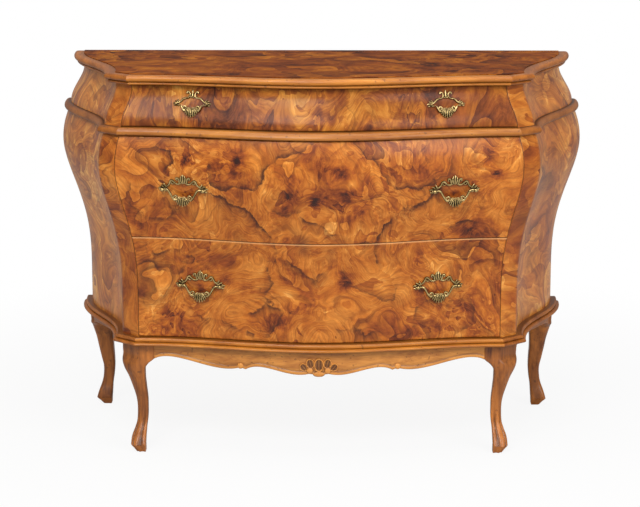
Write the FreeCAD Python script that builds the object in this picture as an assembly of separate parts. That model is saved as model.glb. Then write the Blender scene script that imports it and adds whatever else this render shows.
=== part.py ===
"""Bombe chest of three drawers, as the separate pieces it is built from.

Millimetres, +Z up, the front faces -Y and +X is to the right.  The origin is on the floor
under the centre of the bounding box.  The body is a set of plan outlines (bowed front, canted
corners, curved sides) that swell and sweep in with height, and every panel, drawer front, post
and moulding is lofted through those same outlines, so that they meet edge to edge.
"""
import FreeCAD, Part
import math
import os
from FreeCAD import Vector

# ---------------------------------------------------------------- heights, from the floor up
LEG_HEIGHT = 244.0
BASE_BAND = 18.0
BOTTOM_OPENING = 227.6
MIDDLE_OPENING = 230.0
WAIST_BAND = 18.0
TOP_OPENING = 92.4
TOP_THICKNESS = 20.0
BELLY_ABOVE_SPLIT = 160.0       # fullest part of the swell, above the joint of the lower drawers

# ---------------------------------------------------------------- plan of the body at its foot
BACK_HALF_WIDTH = 545.0         # at the two back corners
CORNER_HALF_WIDTH = 402.0       # where the bowed front meets the canted corners
BODY_DEPTH = 467.0              # back to the middle of the front
BOW = 60.0                      # middle of the front ahead of its corners
CANT_WIDTH = 38.0
CANT_DEPTH = 34.0
SIDE_PULL = 160.0               # how far each end of a side runs straight before it bends
BOW_FLAT = 0.46                 # shares of the half width that shape the bow
BOW_NOSE = 0.24
NOSE_GAIN = 32.0 / 20.0         # a degree-5 curve reaches 20/32 of its two middle poles

# ---------------------------------------------------------------- swell of sides and front
SIDE_START = 68.0               # height above the base band where the swell begins
SIDE_SKEW = 1.6                 # above 1 keeps the foot of the curve slack and lifts the belly
SIDE_BELLY = 61.0
SIDE_UNDER_WAIST = 45.5
SIDE_OVER_WAIST = 40.5
SIDE_TOP = 8.0
FRONT_START = 8.0
FRONT_SKEW = 1.3
FRONT_BELLY = 58.0
FRONT_UNDER_WAIST = 46.0
FRONT_OVER_WAIST = 36.0
FRONT_TOP = 6.0
TOP_SETTLE = 10.0               # upright stretch under the top panel

# ---------------------------------------------------------------- case
SIDE_THICKNESS = 20.0
POST_BACK = 25.0                # corner post behind its joint with the side panel
REAR_POST_WIDTH = 35.0
REAR_POST_DEPTH = 35.0
BACK_THICKNESS = 12.0
RAIL_THICKNESS = 18.0
RAIL_DEPTH = 60.0
REAR_RAIL_DEPTH = 30.0
DUST_PANEL_THICKNESS = 6.0
JOINT_GAP = 0.3                 # glue line at the ends of rails
RUNNER_UNDER_BOX = 32.0         # how far a runner reaches in under the drawer box
RUNNER_THICKNESS = 16.0
GUIDE_WIDTH = 23.0
GUIDE_HEIGHT = 14.0

# ---------------------------------------------------------------- mouldings: foot and nose
TOP_MOULDING_DROP = 3.0         # below the underside of the top panel
TOP_MOULDING_STEP = 3.5         # where the lower bead meets the upper one, above that underside
TOP_MOULDING_RISE = 18.5
TOP_BEAD_FOOT = 8.0
TOP_BEAD_NOSE = 14.0
TOP_ROUND_FOOT = 13.0
TOP_ROUND_NOSE = 23.0
WAIST_FOOT = 3.0
WAIST_NOSE = 13.0
BASE_STEP = 11.5                # height of the lower round of the base moulding
BASE_ROUND_FOOT = 12.0
BASE_ROUND_NOSE = 21.0
BASE_BEAD_FOOT = 5.0
BASE_BEAD_NOSE = 10.0

# ---------------------------------------------------------------- drawers
FRONT_GAP = 1.0                 # all round a drawer front
FRONT_THICKNESS = 22.0
BOX_SIDE_SPACE = 30.0           # drawer box inside the corner post at its foot
BOX_SIDE = 12.0
BOX_RISE = 2.0                  # underside of a drawer box above the rail it crosses
SLIDE_GAP = 0.3
HEADROOM = 6.0
BOX_BACK_SPACE = 16.0           # drawer box to the back panel
BOX_BOTTOM_THICKNESS = 6.0
BOX_BOTTOM_RAISE = 8.0
GROOVE_DEPTH = 5.0

# ---------------------------------------------------------------- legs and aprons
LEG_BLOCK = 73.0                # square block at the head of each leg
BLOCK_SHARE = 0.87              # of the leg's height, where the block gives way to the knee
RIM_SHARE = 0.07                # the hoof's rim
APRON_THICKNESS = 20.0
SIDE_APRON_END = 32.0           # drop of the side apron at the legs
SIDE_APRON_MIDDLE = 12.0
SIDE_APRON_SWEEP = 45.0
BEAD_DIAMETER = 14.0
BEAD_PROUD = 4.0

# A leg's stations below its block: share of the leg's height, centre outward and forward of
# the block's centre, half the width, and the cant on the outer front corner.
FRONT_LEG = (
    (0.82, 7.0, 8.0, 30.5, 30.0),
    (0.77, 9.0, 12.5, 24.5, 20.0),
    (0.69, 4.5, 14.0, 19.0, 12.0),
    (0.59, -1.0, 13.0, 15.5, 8.0),
    (0.48, -6.5, 13.0, 13.0, 6.0),
    (0.38, -8.0, 14.0, 12.0, 5.0),
    (0.27, -7.0, 19.0, 12.0, 5.0),
    (0.20, -3.5, 26.0, 13.5, 5.0),
    (0.135, 0.0, 35.0, 16.0, 4.5),
    (RIM_SHARE, 1.2, 43.0, 16.5, 4.0),
)
FRONT_SOLE = (0.0, -5.5, 42.0, 10.5, 3.0)
REAR_LEG = (
    (0.82, 8.5, -9.0, 27.0, 10.0),
    (0.77, 9.0, -12.5, 23.5, 9.0),
    (0.69, 7.5, -16.0, 20.0, 8.0),
    (0.59, 5.5, -18.5, 17.5, 7.0),
    (0.48, 2.0, -20.5, 15.5, 6.0),
    (0.38, -0.5, -23.0, 13.2, 5.0),
    (0.27, 1.5, -23.5, 12.6, 5.0),
    (0.20, 5.0, -22.5, 13.5, 5.0),
    (0.135, 8.5, -20.0, 16.0, 4.5),
    (RIM_SHARE, 11.5, -18.0, 17.5, 4.0),
)
REAR_SOLE = (0.0, 4.5, -20.0, 10.0, 3.0)

# Lower edge of the front apron from a leg to the middle: share of its half length, and drop.
APRON_OUTER_WAVE = ((1.0, 35.0), (0.87, 8.0), (0.64, 64.0), (0.474, 43.0))
APRON_INNER_WAVE = ((0.441, 46.5), (0.34, 23.0), (0.19, 64.0), (0.06, 51.0))
APRON_BULB = ((0.035, 52.0), (0.0, 56.0))
APRON_BEAD_AT = (0.474, 38.5)

# ---------------------------------------------------------------- handles
TOP_HANDLE_RISE = 49.5          # pivots above the floor of the drawer's opening
MIDDLE_HANDLE_RISE = 116.0
BOTTOM_HANDLE_RISE = 122.0
TOP_HANDLE_X = 274.0
MIDDLE_HANDLE_X = 292.6
BOTTOM_HANDLE_X = 260.4
TOP_HANDLE_SIZE = 0.75          # against the two larger pairs
PIVOT_HALF_SPAN = 46.0
PIVOT_STANDOFF = 9.0
POST_RADIUS = 4.8
POST_PROUD = 13.5
ROD_RADIUS = 2.2
PIN_RADIUS = 2.4
BORE_RADIUS = 3.0               # to the corners of a post's bore
PIN_FOOT = 39.5
PIN_END = 52.5
BAIL_SHOULDER = 35.0
BAIL_BEND = 20.0
BAIL_DROP = 22.0
BAIL_GAP = 1.0
GRIP_THICKNESS = 5.0
PLATE_THICKNESS = 3.0
# Right halves of flat outlines about the middle of the pivot line, for the large handles: out
# and up.  The grip is the bail's shell, with a volute at each shoulder.
GRIP = ((0.0, -36.0), (7.0, -34.5), (13.0, -30.5), (17.0, -24.5), (18.5, -20.5), (22.5, -18.0),
        (22.5, -13.5), (18.5, -11.0), (14.5, -13.5), (13.5, -17.0), (6.5, -19.5), (0.0, -20.0))
PLATE = ((0.0, -3.0), (6.0, 3.5), (14.0, 7.0), (22.0, 13.5), (29.0, 14.0), (34.0, 8.0),
         (40.0, -1.5), (47.0, -4.0), (47.0, 4.0), (43.0, 5.5), (37.0, 13.0), (31.0, 20.0),
         (24.0, 21.0), (17.5, 17.5), (15.0, 24.0), (9.0, 27.0), (4.5, 23.0), (2.5, 29.0),
         (0.0, 33.5))
PLATE_EYE = ((7.0, 17.5), (11.0, 17.5), (11.5, 21.5), (9.0, 23.0), (6.5, 21.0))
PLATE_BEDDING = 6.0             # more than a plate's back has to give for the bow behind it
SHANK_RADIUS = 2.0
SHANK_HOLE = 2.3
SHANK_DEPTH = 20.0              # of a post's shank into the drawer front

# ---------------------------------------------------------------- how finely forms are lofted
BOTTOM_STRIPS = 5               # up the face of the bottom drawer
BELLY_STRIPS = 3                # from there to the fullest part of the swell
BROW_STRIPS = 2                 # from the fullest part to the waist
TOP_STRIPS = 3                  # up the face of the top drawer
ROUND_FACETS = 3                # up the main round of a moulding
BEAD_FACETS = 2                 # up the small bead beside it
APRON_CHORDS = 5                # along each wave of the front apron's lower edge
FRONT_CHORDS = 10               # straight runs along the inside of a drawer front
SIDE_CHORDS = 5
ROD_SIDES = 8
TOUCH = 1e-6

# ---------------------------------------------------------------- derived levels and planes
BASE_TOP = LEG_HEIGHT + BASE_BAND
SPLIT = BASE_TOP + BOTTOM_OPENING
WAIST = SPLIT + MIDDLE_OPENING
WAIST_TOP = WAIST + WAIST_BAND
CASE_TOP = WAIST_TOP + TOP_OPENING
BELLY = SPLIT + BELLY_ABOVE_SPLIT
BACK_Y = (BODY_DEPTH + FRONT_BELLY) / 2
FRONT_Y = BACK_Y - BODY_DEPTH
CORNER_Y = FRONT_Y + BOW
BACK_PANEL_Y = BACK_Y - BACK_THICKNESS
RAIL_BACK_Y = CORNER_Y + RAIL_DEPTH
REAR_RAIL_Y = BACK_PANEL_Y - REAR_RAIL_DEPTH
BOX_BACK_Y = BACK_PANEL_Y - BOX_BACK_SPACE
BOX_HALF_WIDTH = CORNER_HALF_WIDTH - BOX_SIDE_SPACE
GUIDE_HALF_WIDTH = BOX_HALF_WIDTH + FRONT_GAP
RUNNER_HALF_INSIDE = BOX_HALF_WIDTH - RUNNER_UNDER_BOX
RUNNER_HALF_OUTSIDE = GUIDE_HALF_WIDTH + GUIDE_WIDTH


def spread(low, high, strips):
    return [low + (high - low) * step / strips for step in range(strips + 1)]


LEVELS = ([LEG_HEIGHT] + spread(BASE_TOP, SPLIT, BOTTOM_STRIPS)
          + spread(SPLIT, BELLY, BELLY_STRIPS)[1:] + spread(BELLY, WAIST, BROW_STRIPS)[1:]
          + spread(WAIST_TOP, CASE_TOP - TOP_SETTLE, TOP_STRIPS) + [CASE_TOP])

FRONT_NORMAL = Vector(0, -1, 0)
SIDE_NORMAL = Vector(1, 0, 0)
CANT_NORMAL = Vector(CANT_DEPTH, -CANT_WIDTH, 0).normalize()
UP = Vector(0, 0, 1)
ORIGIN = Vector(0, 0, 0)

parts = {}


# ================================================================ the body's outlines
def smooth(share):
    return share * share * (3 - 2 * share)


def profile(z, start, skew, belly, under_waist, over_waist, top):
    """How far the body stands out at height z, beyond its outline at the foot."""
    foot = BASE_TOP + start
    if z <= BELLY:
        rise = max(0.0, z - foot) / (BELLY - foot)
        return belly * smooth(rise ** skew)
    if z <= WAIST:
        return belly - (belly - under_waist) * ((z - BELLY) / (WAIST - BELLY)) ** 2
    fall = min(1.0, (z - WAIST_TOP) / (TOP_OPENING - TOP_SETTLE))
    return over_waist + (top - over_waist) * smooth(fall)


def swell(z, *shape):
    """The same between the body's levels, so that pieces of any height share one face."""
    above = next((i for i, level in enumerate(LEVELS) if level >= z), len(LEVELS) - 1)
    above = max(above, 1)
    low, high = LEVELS[above - 1], LEVELS[above]
    share = min(1.0, max(0.0, (z - low) / (high - low)))
    return profile(low, *shape) * (1 - share) + profile(high, *shape) * share


def side_swell(z):
    return swell(z, SIDE_START, SIDE_SKEW, SIDE_BELLY, SIDE_UNDER_WAIST, SIDE_OVER_WAIST,
                 SIDE_TOP)


def front_swell(z):
    return swell(z, FRONT_START, FRONT_SKEW, FRONT_BELLY, FRONT_UNDER_WAIST,
                 FRONT_OVER_WAIST, FRONT_TOP)


def mitre(point, first, second, proud):
    """A corner, moved out by proud from both faces that meet there."""
    return point + (first + second) * (proud / (1 + first.dot(second)))


def corners(z, proud=0.0):
    """Right front corner, outer edge of the cant, and right back corner."""
    out = side_swell(z)
    slide = out * math.sqrt(0.5)
    corner = Vector(CORNER_HALF_WIDTH + slide, CORNER_Y - slide, z)
    edge_of_cant = corner + Vector(CANT_WIDTH, CANT_DEPTH, 0)
    back = Vector(BACK_HALF_WIDTH + out, BACK_Y, z)
    return (mitre(corner, FRONT_NORMAL, CANT_NORMAL, proud),
            mitre(edge_of_cant, CANT_NORMAL, SIDE_NORMAL, proud),
            back + SIDE_NORMAL * proud)


def front_curve(z, proud=0.0, half=None):
    """Poles of the bowed front from left to right, proud of the body's face."""
    corner = corners(z, proud)[0]
    half = half or corner.x
    middle = FRONT_Y - front_swell(z) - proud
    nose = corner.y + (middle - corner.y) * NOSE_GAIN
    shape = ((-1, corner.y), (-BOW_FLAT, corner.y), (-BOW_NOSE, nose),
             (BOW_NOSE, nose), (BOW_FLAT, corner.y), (1, corner.y))
    return [Vector(share * half, y, z) for share, y in shape]


def side_curve(z, proud=0.0):
    """Poles of the right side from the cant to the back."""
    _, start, end = corners(z, proud)
    return [start, start + Vector(0, SIDE_PULL, 0), end - Vector(0, SIDE_PULL, 0), end]


def across(points):
    """The same points on the other side of the chest, in the opposite order."""
    return [Vector(-p.x, p.y, p.z) for p in reversed(points)]


# ================================================================ shape helpers
def edge(poles):
    if len(poles) == 2:
        return Part.makeLine(*poles)
    curve = Part.BezierCurve()
    curve.setPoles(poles)
    return curve.toShape()


def outline(*curves):
    """A closed wire through the curves, with straight lines where two of them don't meet."""
    edges = []
    for index, poles in enumerate(curves):
        edges.append(edge(poles))
        following = curves[(index + 1) % len(curves)][0]
        if (following - poles[-1]).Length > TOUCH:
            edges.append(Part.makeLine(poles[-1], following))
    return Part.Wire(edges)


def polygon(*points):
    return Part.makePolygon(list(points) + [points[0]])


def chords(poles, count):
    """Straight runs that follow the curve through the poles."""
    curve = Part.BezierCurve()
    curve.setPoles(poles)
    points = [curve.value(step / count) for step in range(count + 1)]
    return [list(run) for run in zip(points, points[1:])]


def band(curve, z, outer, inner, *extra):
    """Outline of a strip that follows a curve between two depths."""
    return outline(curve(z, outer, *extra), curve(z, inner, *extra)[::-1])


def skin(low, high):
    """The face between two curves, given by their poles."""
    if len(low) == 2:
        return Part.Face(polygon(low[0], low[1], high[1], high[0]))
    if abs(low[0].z - high[0].z) < TOUCH:
        return Part.Face(outline(low, high[::-1]))
    return Part.makeRuledSurface(edge(low), edge(high))


def closed(faces):
    solid = Part.Solid(Part.Shell(faces))
    return solid if solid.Volume > 0 else solid.reversed()


def stack(rings):
    """A solid of flat faces through rings of points whose sides stay parallel."""
    faces = [Part.Face(polygon(*rings[0])), Part.Face(polygon(*rings[-1]))]
    for low, high in zip(rings, rings[1:]):
        around = list(zip(low, high))
        for (a, b), (c, d) in zip(around, around[1:] + around[:1]):
            faces.append(skin([a, c], [b, d]))
    return closed(faces)


def loft(section, low, high):
    """A solid through the section at both ends and at each of the body's levels between."""
    heights = [low] + [z for z in LEVELS if low + TOUCH < z < high - TOUCH] + [high]
    return Part.makeLoft([section(z) for z in heights], True, True)


def fuse(shapes):
    joined = shapes[0].multiFuse(shapes[1:]).removeSplitter() if len(shapes) > 1 else shapes[0]
    return joined.Solids[0] if len(joined.Solids) == 1 else joined


def tower(section):
    """A piece that runs the whole height of the case."""
    return loft(section, LEG_HEIGHT, CASE_TOP)


def block(x0, x1, y0, y1, z0, z1):
    return Part.makeBox(x1 - x0, y1 - y0, z1 - z0, Vector(x0, y0, z0))


def prism(wire, travel):
    return Part.Face(wire).extrude(travel)


def mirrored(shape):
    return shape.mirror(ORIGIN, Vector(1, 0, 0))


def add_pair(name, shape):
    """Keep a right-hand piece and its left-hand twin."""
    parts[name + "_right"] = shape
    parts[name + "_left"] = mirrored(shape)


# ================================================================ case
def side_panels():
    def section(z):
        inside = side_curve(z, -SIDE_THICKNESS)[::-1]
        return outline(side_curve(z), *chords(inside, SIDE_CHORDS))
    return tower(section)


def corner_posts():
    def section(z):
        corner, cant, _ = corners(z)
        inner = side_curve(z, -SIDE_THICKNESS)[0]
        back = inner.y + POST_BACK
        return polygon(corner, cant, inner, Vector(inner.x, back, z), Vector(corner.x, back, z))
    return tower(section)


def cavity():
    """The space between the side panels, from the corner posts to the back plane."""
    def section(z):
        right = side_curve(z, -SIDE_THICKNESS)
        return outline(*chords(right, SIDE_CHORDS), *chords(across(right), SIDE_CHORDS))
    return tower(section)


def rear_post_inside(z):
    return corners(z)[2].x - SIDE_THICKNESS - REAR_POST_WIDTH


def rear_posts(space):
    def section(z):
        inner, outer = rear_post_inside(z), corners(z)[2].x
        front = BACK_PANEL_Y - REAR_POST_DEPTH
        return polygon(Vector(inner, front, z), Vector(outer, front, z),
                       Vector(outer, BACK_PANEL_Y, z), Vector(inner, BACK_PANEL_Y, z))
    return tower(section).common(space).Solids[0]


def front_rail(low, hidden):
    """A rail between the corner posts; a hidden one stays behind the drawer fronts."""
    high = low + RAIL_THICKNESS
    slack = min(low, high, key=front_swell)
    inset = FRONT_THICKNESS + FRONT_GAP if hidden else 0.0

    def section(z):
        at = slack if hidden else z
        half = corners(at)[0].x - JOINT_GAP
        poles = [Vector(p.x, p.y, z) for p in front_curve(at, -inset, half)]
        face = chords(poles, FRONT_CHORDS) if hidden else [poles]
        return outline(*face, [Vector(half, RAIL_BACK_Y, z), Vector(-half, RAIL_BACK_Y, z)])
    return loft(section, low, high)


def rear_rail(low):
    def section(z):
        half = rear_post_inside(z) - JOINT_GAP
        return polygon(Vector(-half, REAR_RAIL_Y, z), Vector(half, REAR_RAIL_Y, z),
                       Vector(half, BACK_PANEL_Y, z), Vector(-half, BACK_PANEL_Y, z))
    return loft(section, low, low + RAIL_THICKNESS)


def runner_pair(top):
    """Two L-shaped runners between a front rail and the rear rail at the same height."""
    right = fuse([
        block(RUNNER_HALF_INSIDE, RUNNER_HALF_OUTSIDE, RAIL_BACK_Y, REAR_RAIL_Y,
              top - RUNNER_THICKNESS, top),
        block(GUIDE_HALF_WIDTH, RUNNER_HALF_OUTSIDE, RAIL_BACK_Y, REAR_RAIL_Y,
              top, top + GUIDE_HEIGHT)])
    return Part.Compound([right, mirrored(right)])


def build_case():
    add_pair("side_panel", side_panels())
    add_pair("corner_post", corner_posts())
    space = cavity()
    add_pair("rear_post", rear_posts(space))
    wide = BACK_HALF_WIDTH + SIDE_BELLY
    parts["back_panel"] = space.common(
        block(-wide, wide, BACK_PANEL_Y, BACK_Y, LEG_HEIGHT, CASE_TOP)).Solids[0]
    parts["bottom_rail"] = front_rail(BASE_TOP - RAIL_THICKNESS, False)
    parts["middle_rail"] = front_rail(SPLIT - RAIL_THICKNESS / 2, True)
    parts["waist_rail"] = front_rail(WAIST_TOP - RAIL_THICKNESS, False)
    parts["top_rail"] = front_rail(CASE_TOP - RAIL_THICKNESS, True)
    parts["rear_rails"] = Part.Compound([
        rear_rail(sizes["rail_top"] - RAIL_THICKNESS) for sizes in DRAWERS.values()])
    for name, sizes in DRAWERS.items():
        parts[name + "_runners"] = runner_pair(sizes["box_low"] - SLIDE_GAP)
    parts["dust_panel"] = block(-RUNNER_HALF_INSIDE, RUNNER_HALF_INSIDE, RAIL_BACK_Y,
                                REAR_RAIL_Y, BASE_TOP - RAIL_THICKNESS,
                                BASE_TOP - RAIL_THICKNESS + DUST_PANEL_THICKNESS)
    right = side_curve(CASE_TOP)
    top_outline = outline(front_curve(CASE_TOP), right, across(right))
    parts["top_panel"] = prism(top_outline, UP * TOP_THICKNESS)


# ================================================================ mouldings
def half_round(low, high, foot, nose, facets):
    """Heights and depths up a half-round face."""
    turns = [math.pi * step / facets for step in range(facets + 1)]
    return [(low + (high - low) * (1 - math.cos(turn)) / 2,
             foot + (nose - foot) * math.sin(turn)) for turn in turns]


def strip(curve, beads):
    """A moulding along a curve of the body, flat where it lies against it."""
    lines = [curve(z, proud) for steps in beads for z, proud in steps]
    lines += [curve(beads[-1][-1][0], 0.0), curve(beads[0][0][0], 0.0)]
    faces = [skin(*pair) for pair in zip(lines, lines[1:] + lines[:1])]
    faces += [Part.Face(polygon(*[line[end] for line in lines])) for end in (0, -1)]
    return closed(faces)


def cant_line(z, proud):
    return list(corners(z, proud)[:2])


def build_moulding(name, beads):
    parts[name + "_front"] = strip(front_curve, beads)
    add_pair(name, Part.Compound([strip(cant_line, beads), strip(side_curve, beads)]))


def build_mouldings():
    step = CASE_TOP + TOP_MOULDING_STEP
    build_moulding("top_moulding", [
        half_round(CASE_TOP - TOP_MOULDING_DROP, step, TOP_BEAD_FOOT, TOP_BEAD_NOSE,
                   BEAD_FACETS),
        half_round(step, CASE_TOP + TOP_MOULDING_RISE, TOP_ROUND_FOOT, TOP_ROUND_NOSE,
                   ROUND_FACETS)])
    build_moulding("waist_moulding", [
        half_round(WAIST, WAIST_TOP, WAIST_FOOT, WAIST_NOSE, ROUND_FACETS)])
    step = LEG_HEIGHT + BASE_STEP
    build_moulding("base_moulding", [
        half_round(LEG_HEIGHT, step, BASE_ROUND_FOOT, BASE_ROUND_NOSE, ROUND_FACETS),
        half_round(step, BASE_TOP, BASE_BEAD_FOOT, BASE_BEAD_NOSE, BEAD_FACETS)])


# ================================================================ legs and aprons
def leg(centre, stations, sole, block_cant):
    """A right-hand cabriole leg: canted block, knee, ankle and hoof."""
    def section(share, out, forward, half, cant):
        x, y, z = centre.x + out, centre.y - forward, share * LEG_HEIGHT
        depth = cant * CANT_DEPTH / CANT_WIDTH
        return [Vector(x - half, y - half, z), Vector(x + half - cant, y - half, z),
                Vector(x + half, y - half + depth, z), Vector(x + half, y + half, z),
                Vector(x - half, y + half, z)]

    head = (1.0, 0.0, 0.0, LEG_BLOCK / 2, block_cant)
    knee = (BLOCK_SHARE,) + head[1:]
    return stack([section(*station) for station in (head, knee) + stations + (sole,)])


def build_legs():
    _, cant, back = corners(LEG_HEIGHT)
    half = LEG_BLOCK / 2
    front = Vector(cant.x - half, CORNER_Y + half, 0)
    rear = Vector(back.x - half, BACK_Y - half, 0)
    add_pair("leg_front", leg(front, FRONT_LEG, FRONT_SOLE, CANT_WIDTH))
    add_pair("leg_rear", leg(rear, REAR_LEG, REAR_SOLE, REAR_LEG[0][-1]))


def apron_point(half, share, drop):
    return Vector(share * half, FRONT_Y - BOW, LEG_HEIGHT - drop)


def front_apron():
    half = corners(LEG_HEIGHT)[1].x - LEG_BLOCK
    outer = [apron_point(half, *p) for p in APRON_OUTER_WAVE]
    inner = [apron_point(half, *p) for p in APRON_INNER_WAVE]
    bulb = [apron_point(half, *p) for p in APRON_BULB]
    right = chords(outer, APRON_CHORDS) + chords(inner, APRON_CHORDS) + [bulb]
    left = [across(run) for run in reversed(right)]
    top = [apron_point(half, -1.0, 0.0), apron_point(half, 1.0, 0.0)]
    pattern = prism(outline(*right, *left, top), Vector(0, BODY_DEPTH, 0))

    deepest = LEG_HEIGHT - max(drop for _, drop in APRON_OUTER_WAVE + APRON_INNER_WAVE)

    def face(outer, inner):
        wire = outline(*[[Vector(p.x, p.y, deepest) for p in poles] for poles in
                         (front_curve(LEG_HEIGHT, outer), front_curve(LEG_HEIGHT, inner)[::-1])])
        return prism(wire, UP * (LEG_HEIGHT - deepest))

    solids = [face(0.0, -APRON_THICKNESS).common(pattern)]
    share, drop = APRON_BEAD_AT
    skin = face(BEAD_PROUD, 0.0)
    for side in (-1, 1):
        button = Part.makeCylinder(BEAD_DIAMETER / 2, BODY_DEPTH,
                                   apron_point(half, side * share, drop), Vector(0, 1, 0))
        solids.append(button.common(skin))
    return fuse(solids)


def side_apron():
    front = CORNER_Y + LEG_BLOCK
    back = BACK_Y - LEG_BLOCK
    ends = [Vector(0, front, LEG_HEIGHT - SIDE_APRON_END),
            Vector(0, front + SIDE_APRON_SWEEP, LEG_HEIGHT - SIDE_APRON_MIDDLE),
            Vector(0, back - SIDE_APRON_SWEEP, LEG_HEIGHT - SIDE_APRON_MIDDLE),
            Vector(0, back, LEG_HEIGHT - SIDE_APRON_END)]
    top = [Vector(0, back, LEG_HEIGHT), Vector(0, front, LEG_HEIGHT)]
    pattern = prism(outline(ends, top), Vector(BACK_HALF_WIDTH + SIDE_BELLY, 0, 0))
    strip_below = Part.Face(band(side_curve, LEG_HEIGHT, 0.0, -APRON_THICKNESS)).extrude(
        UP * -SIDE_APRON_END)
    return strip_below.common(pattern).Solids[0]


def build_aprons():
    parts["apron_front"] = front_apron()
    add_pair("apron", side_apron())


# ================================================================ drawers
def drawer(low, high, rail_top, rail_above, pivot, handle_x, size):
    """Sizes of one drawer; low and high are the limits of its front."""
    return {"low": low + FRONT_GAP, "high": high - FRONT_GAP, "rail_top": rail_top,
            "box_low": rail_top + BOX_RISE, "box_high": rail_above - HEADROOM,
            "pivot": pivot, "handle_x": handle_x, "size": size}


DRAWERS = {
    "bottom": drawer(BASE_TOP, SPLIT + FRONT_GAP / 2, BASE_TOP, SPLIT - RAIL_THICKNESS / 2,
                     BASE_TOP + BOTTOM_HANDLE_RISE, BOTTOM_HANDLE_X, 1.0),
    "middle": drawer(SPLIT - FRONT_GAP / 2, WAIST, SPLIT + RAIL_THICKNESS / 2,
                     WAIST_TOP - RAIL_THICKNESS, SPLIT + MIDDLE_HANDLE_RISE,
                     MIDDLE_HANDLE_X, 1.0),
    "top": drawer(WAIST_TOP, CASE_TOP - TOP_MOULDING_DROP, WAIST_TOP,
                  CASE_TOP - RAIL_THICKNESS, WAIST_TOP + TOP_HANDLE_RISE, TOP_HANDLE_X,
                  TOP_HANDLE_SIZE),
}


def front_half(z):
    return corners(z)[0].x - FRONT_GAP


def solid_front(sizes):
    """A drawer's front without its holes, curved outside and in straight runs inside."""
    def section(z):
        half = front_half(z)
        inside = front_curve(z, -FRONT_THICKNESS, half)[::-1]
        return outline(front_curve(z, 0.0, half), *chords(inside, FRONT_CHORDS))
    return loft(section, sizes["low"], sizes["high"])


def behind_front(sizes):
    """The space behind a drawer's front, back to the end of its box."""
    def section(z):
        half = front_half(z)
        inside = chords(front_curve(z, -FRONT_THICKNESS, half), FRONT_CHORDS)
        return outline(*inside, [Vector(half, BOX_BACK_Y, z), Vector(-half, BOX_BACK_Y, z)])
    return loft(section, sizes["low"], sizes["high"])


def build_box(name, sizes):
    low, high = sizes["box_low"], sizes["box_high"]
    floor = low + BOX_BOTTOM_RAISE
    floor_top = floor + BOX_BOTTOM_THICKNESS
    inside = BOX_HALF_WIDTH - BOX_SIDE
    space = behind_front(sizes)
    board = block(-inside - GROOVE_DEPTH, inside + GROOVE_DEPTH, -BODY_DEPTH, BOX_BACK_Y,
                  floor, floor_top)
    bottom = board.common(space).Solids[0]
    side = block(inside, BOX_HALF_WIDTH, -BODY_DEPTH, BOX_BACK_Y, low, high)
    add_pair(name + "_drawer_side", side.common(space).cut(board).Solids[0])
    parts[name + "_drawer_bottom"] = bottom
    parts[name + "_drawer_back"] = block(-inside, inside, BOX_BACK_Y - BOX_SIDE, BOX_BACK_Y,
                                         floor_top, high)


# ================================================================ handles
def face_point(x, z):
    """The point of the body's face at x and z, and the direction of the bow there."""
    curve = Part.BezierCurve()
    curve.setPoles(front_curve(z))
    left, right = 0.0, 1.0
    while right - left > TOUCH:
        middle = (left + right) / 2
        if curve.value(middle).x < x:
            left = middle
        else:
            right = middle
    return curve.value(left), curve.tangent(left)[0]


def rod(points, radius):
    """A rod of flat sides with mitred bends, along any flat path."""
    runs = [(after - before).normalize() for before, after in zip(points, points[1:])]
    across_run = runs[0].cross(UP) if abs(runs[0].z) < 0.5 else runs[0].cross(FRONT_NORMAL)
    across_run.normalize()
    up = across_run.cross(runs[0])
    turns = [math.pi * (2 * side + 1) / ROD_SIDES for side in range(ROD_SIDES)]
    rings = [[points[0] + (across_run * math.cos(turn) + up * math.sin(turn)) * radius
              for turn in turns]]
    for point, run, following in zip(points[1:], runs, runs[1:] + runs[-1:]):
        plane = run + following
        rings.append([p + run * ((point - p).dot(plane) / run.dot(plane)) for p in rings[-1]])
    return stack(rings)


def flat_point(u, w, size):
    return Vector(u * size, 0, w * size)


def bail(size):
    """A bail hanging in the XZ plane, with its pivots on the X axis."""
    right = [flat_point(u, w, size) for u, w in
             ((PIVOT_HALF_SPAN, 0.0), (BAIL_SHOULDER, 0.0), (BAIL_BEND, -BAIL_DROP))]
    pin = Part.makeCylinder(PIN_RADIUS * size, (PIN_END - PIN_FOOT) * size,
                            flat_point(PIN_FOOT, 0.0, size), Vector(1, 0, 0))
    grip = [flat_point(u, w, size) for u, w in GRIP]
    thickness = GRIP_THICKNESS * size
    shell = prism(polygon(*(grip + across(grip))), Vector(0, thickness, 0))
    shell.translate(Vector(0, -thickness / 2, 0))
    return fuse([rod(right + across(right), ROD_RADIUS * size), shell, pin, mirrored(pin)])


def back_plate(size):
    """The scrolled plate in the XZ plane, thicker than the bow behind it is deep."""
    right = [flat_point(u, w, size) for u, w in PLATE]
    eye = [flat_point(u, w, size) for u, w in PLATE_EYE]
    through = Vector(0, PLATE_THICKNESS * size + PLATE_BEDDING, 0)
    holes = [prism(polygon(*eye), through), prism(polygon(*across(eye)), through)]
    return prism(polygon(*(right + across(right))), through).cut(holes)


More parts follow.
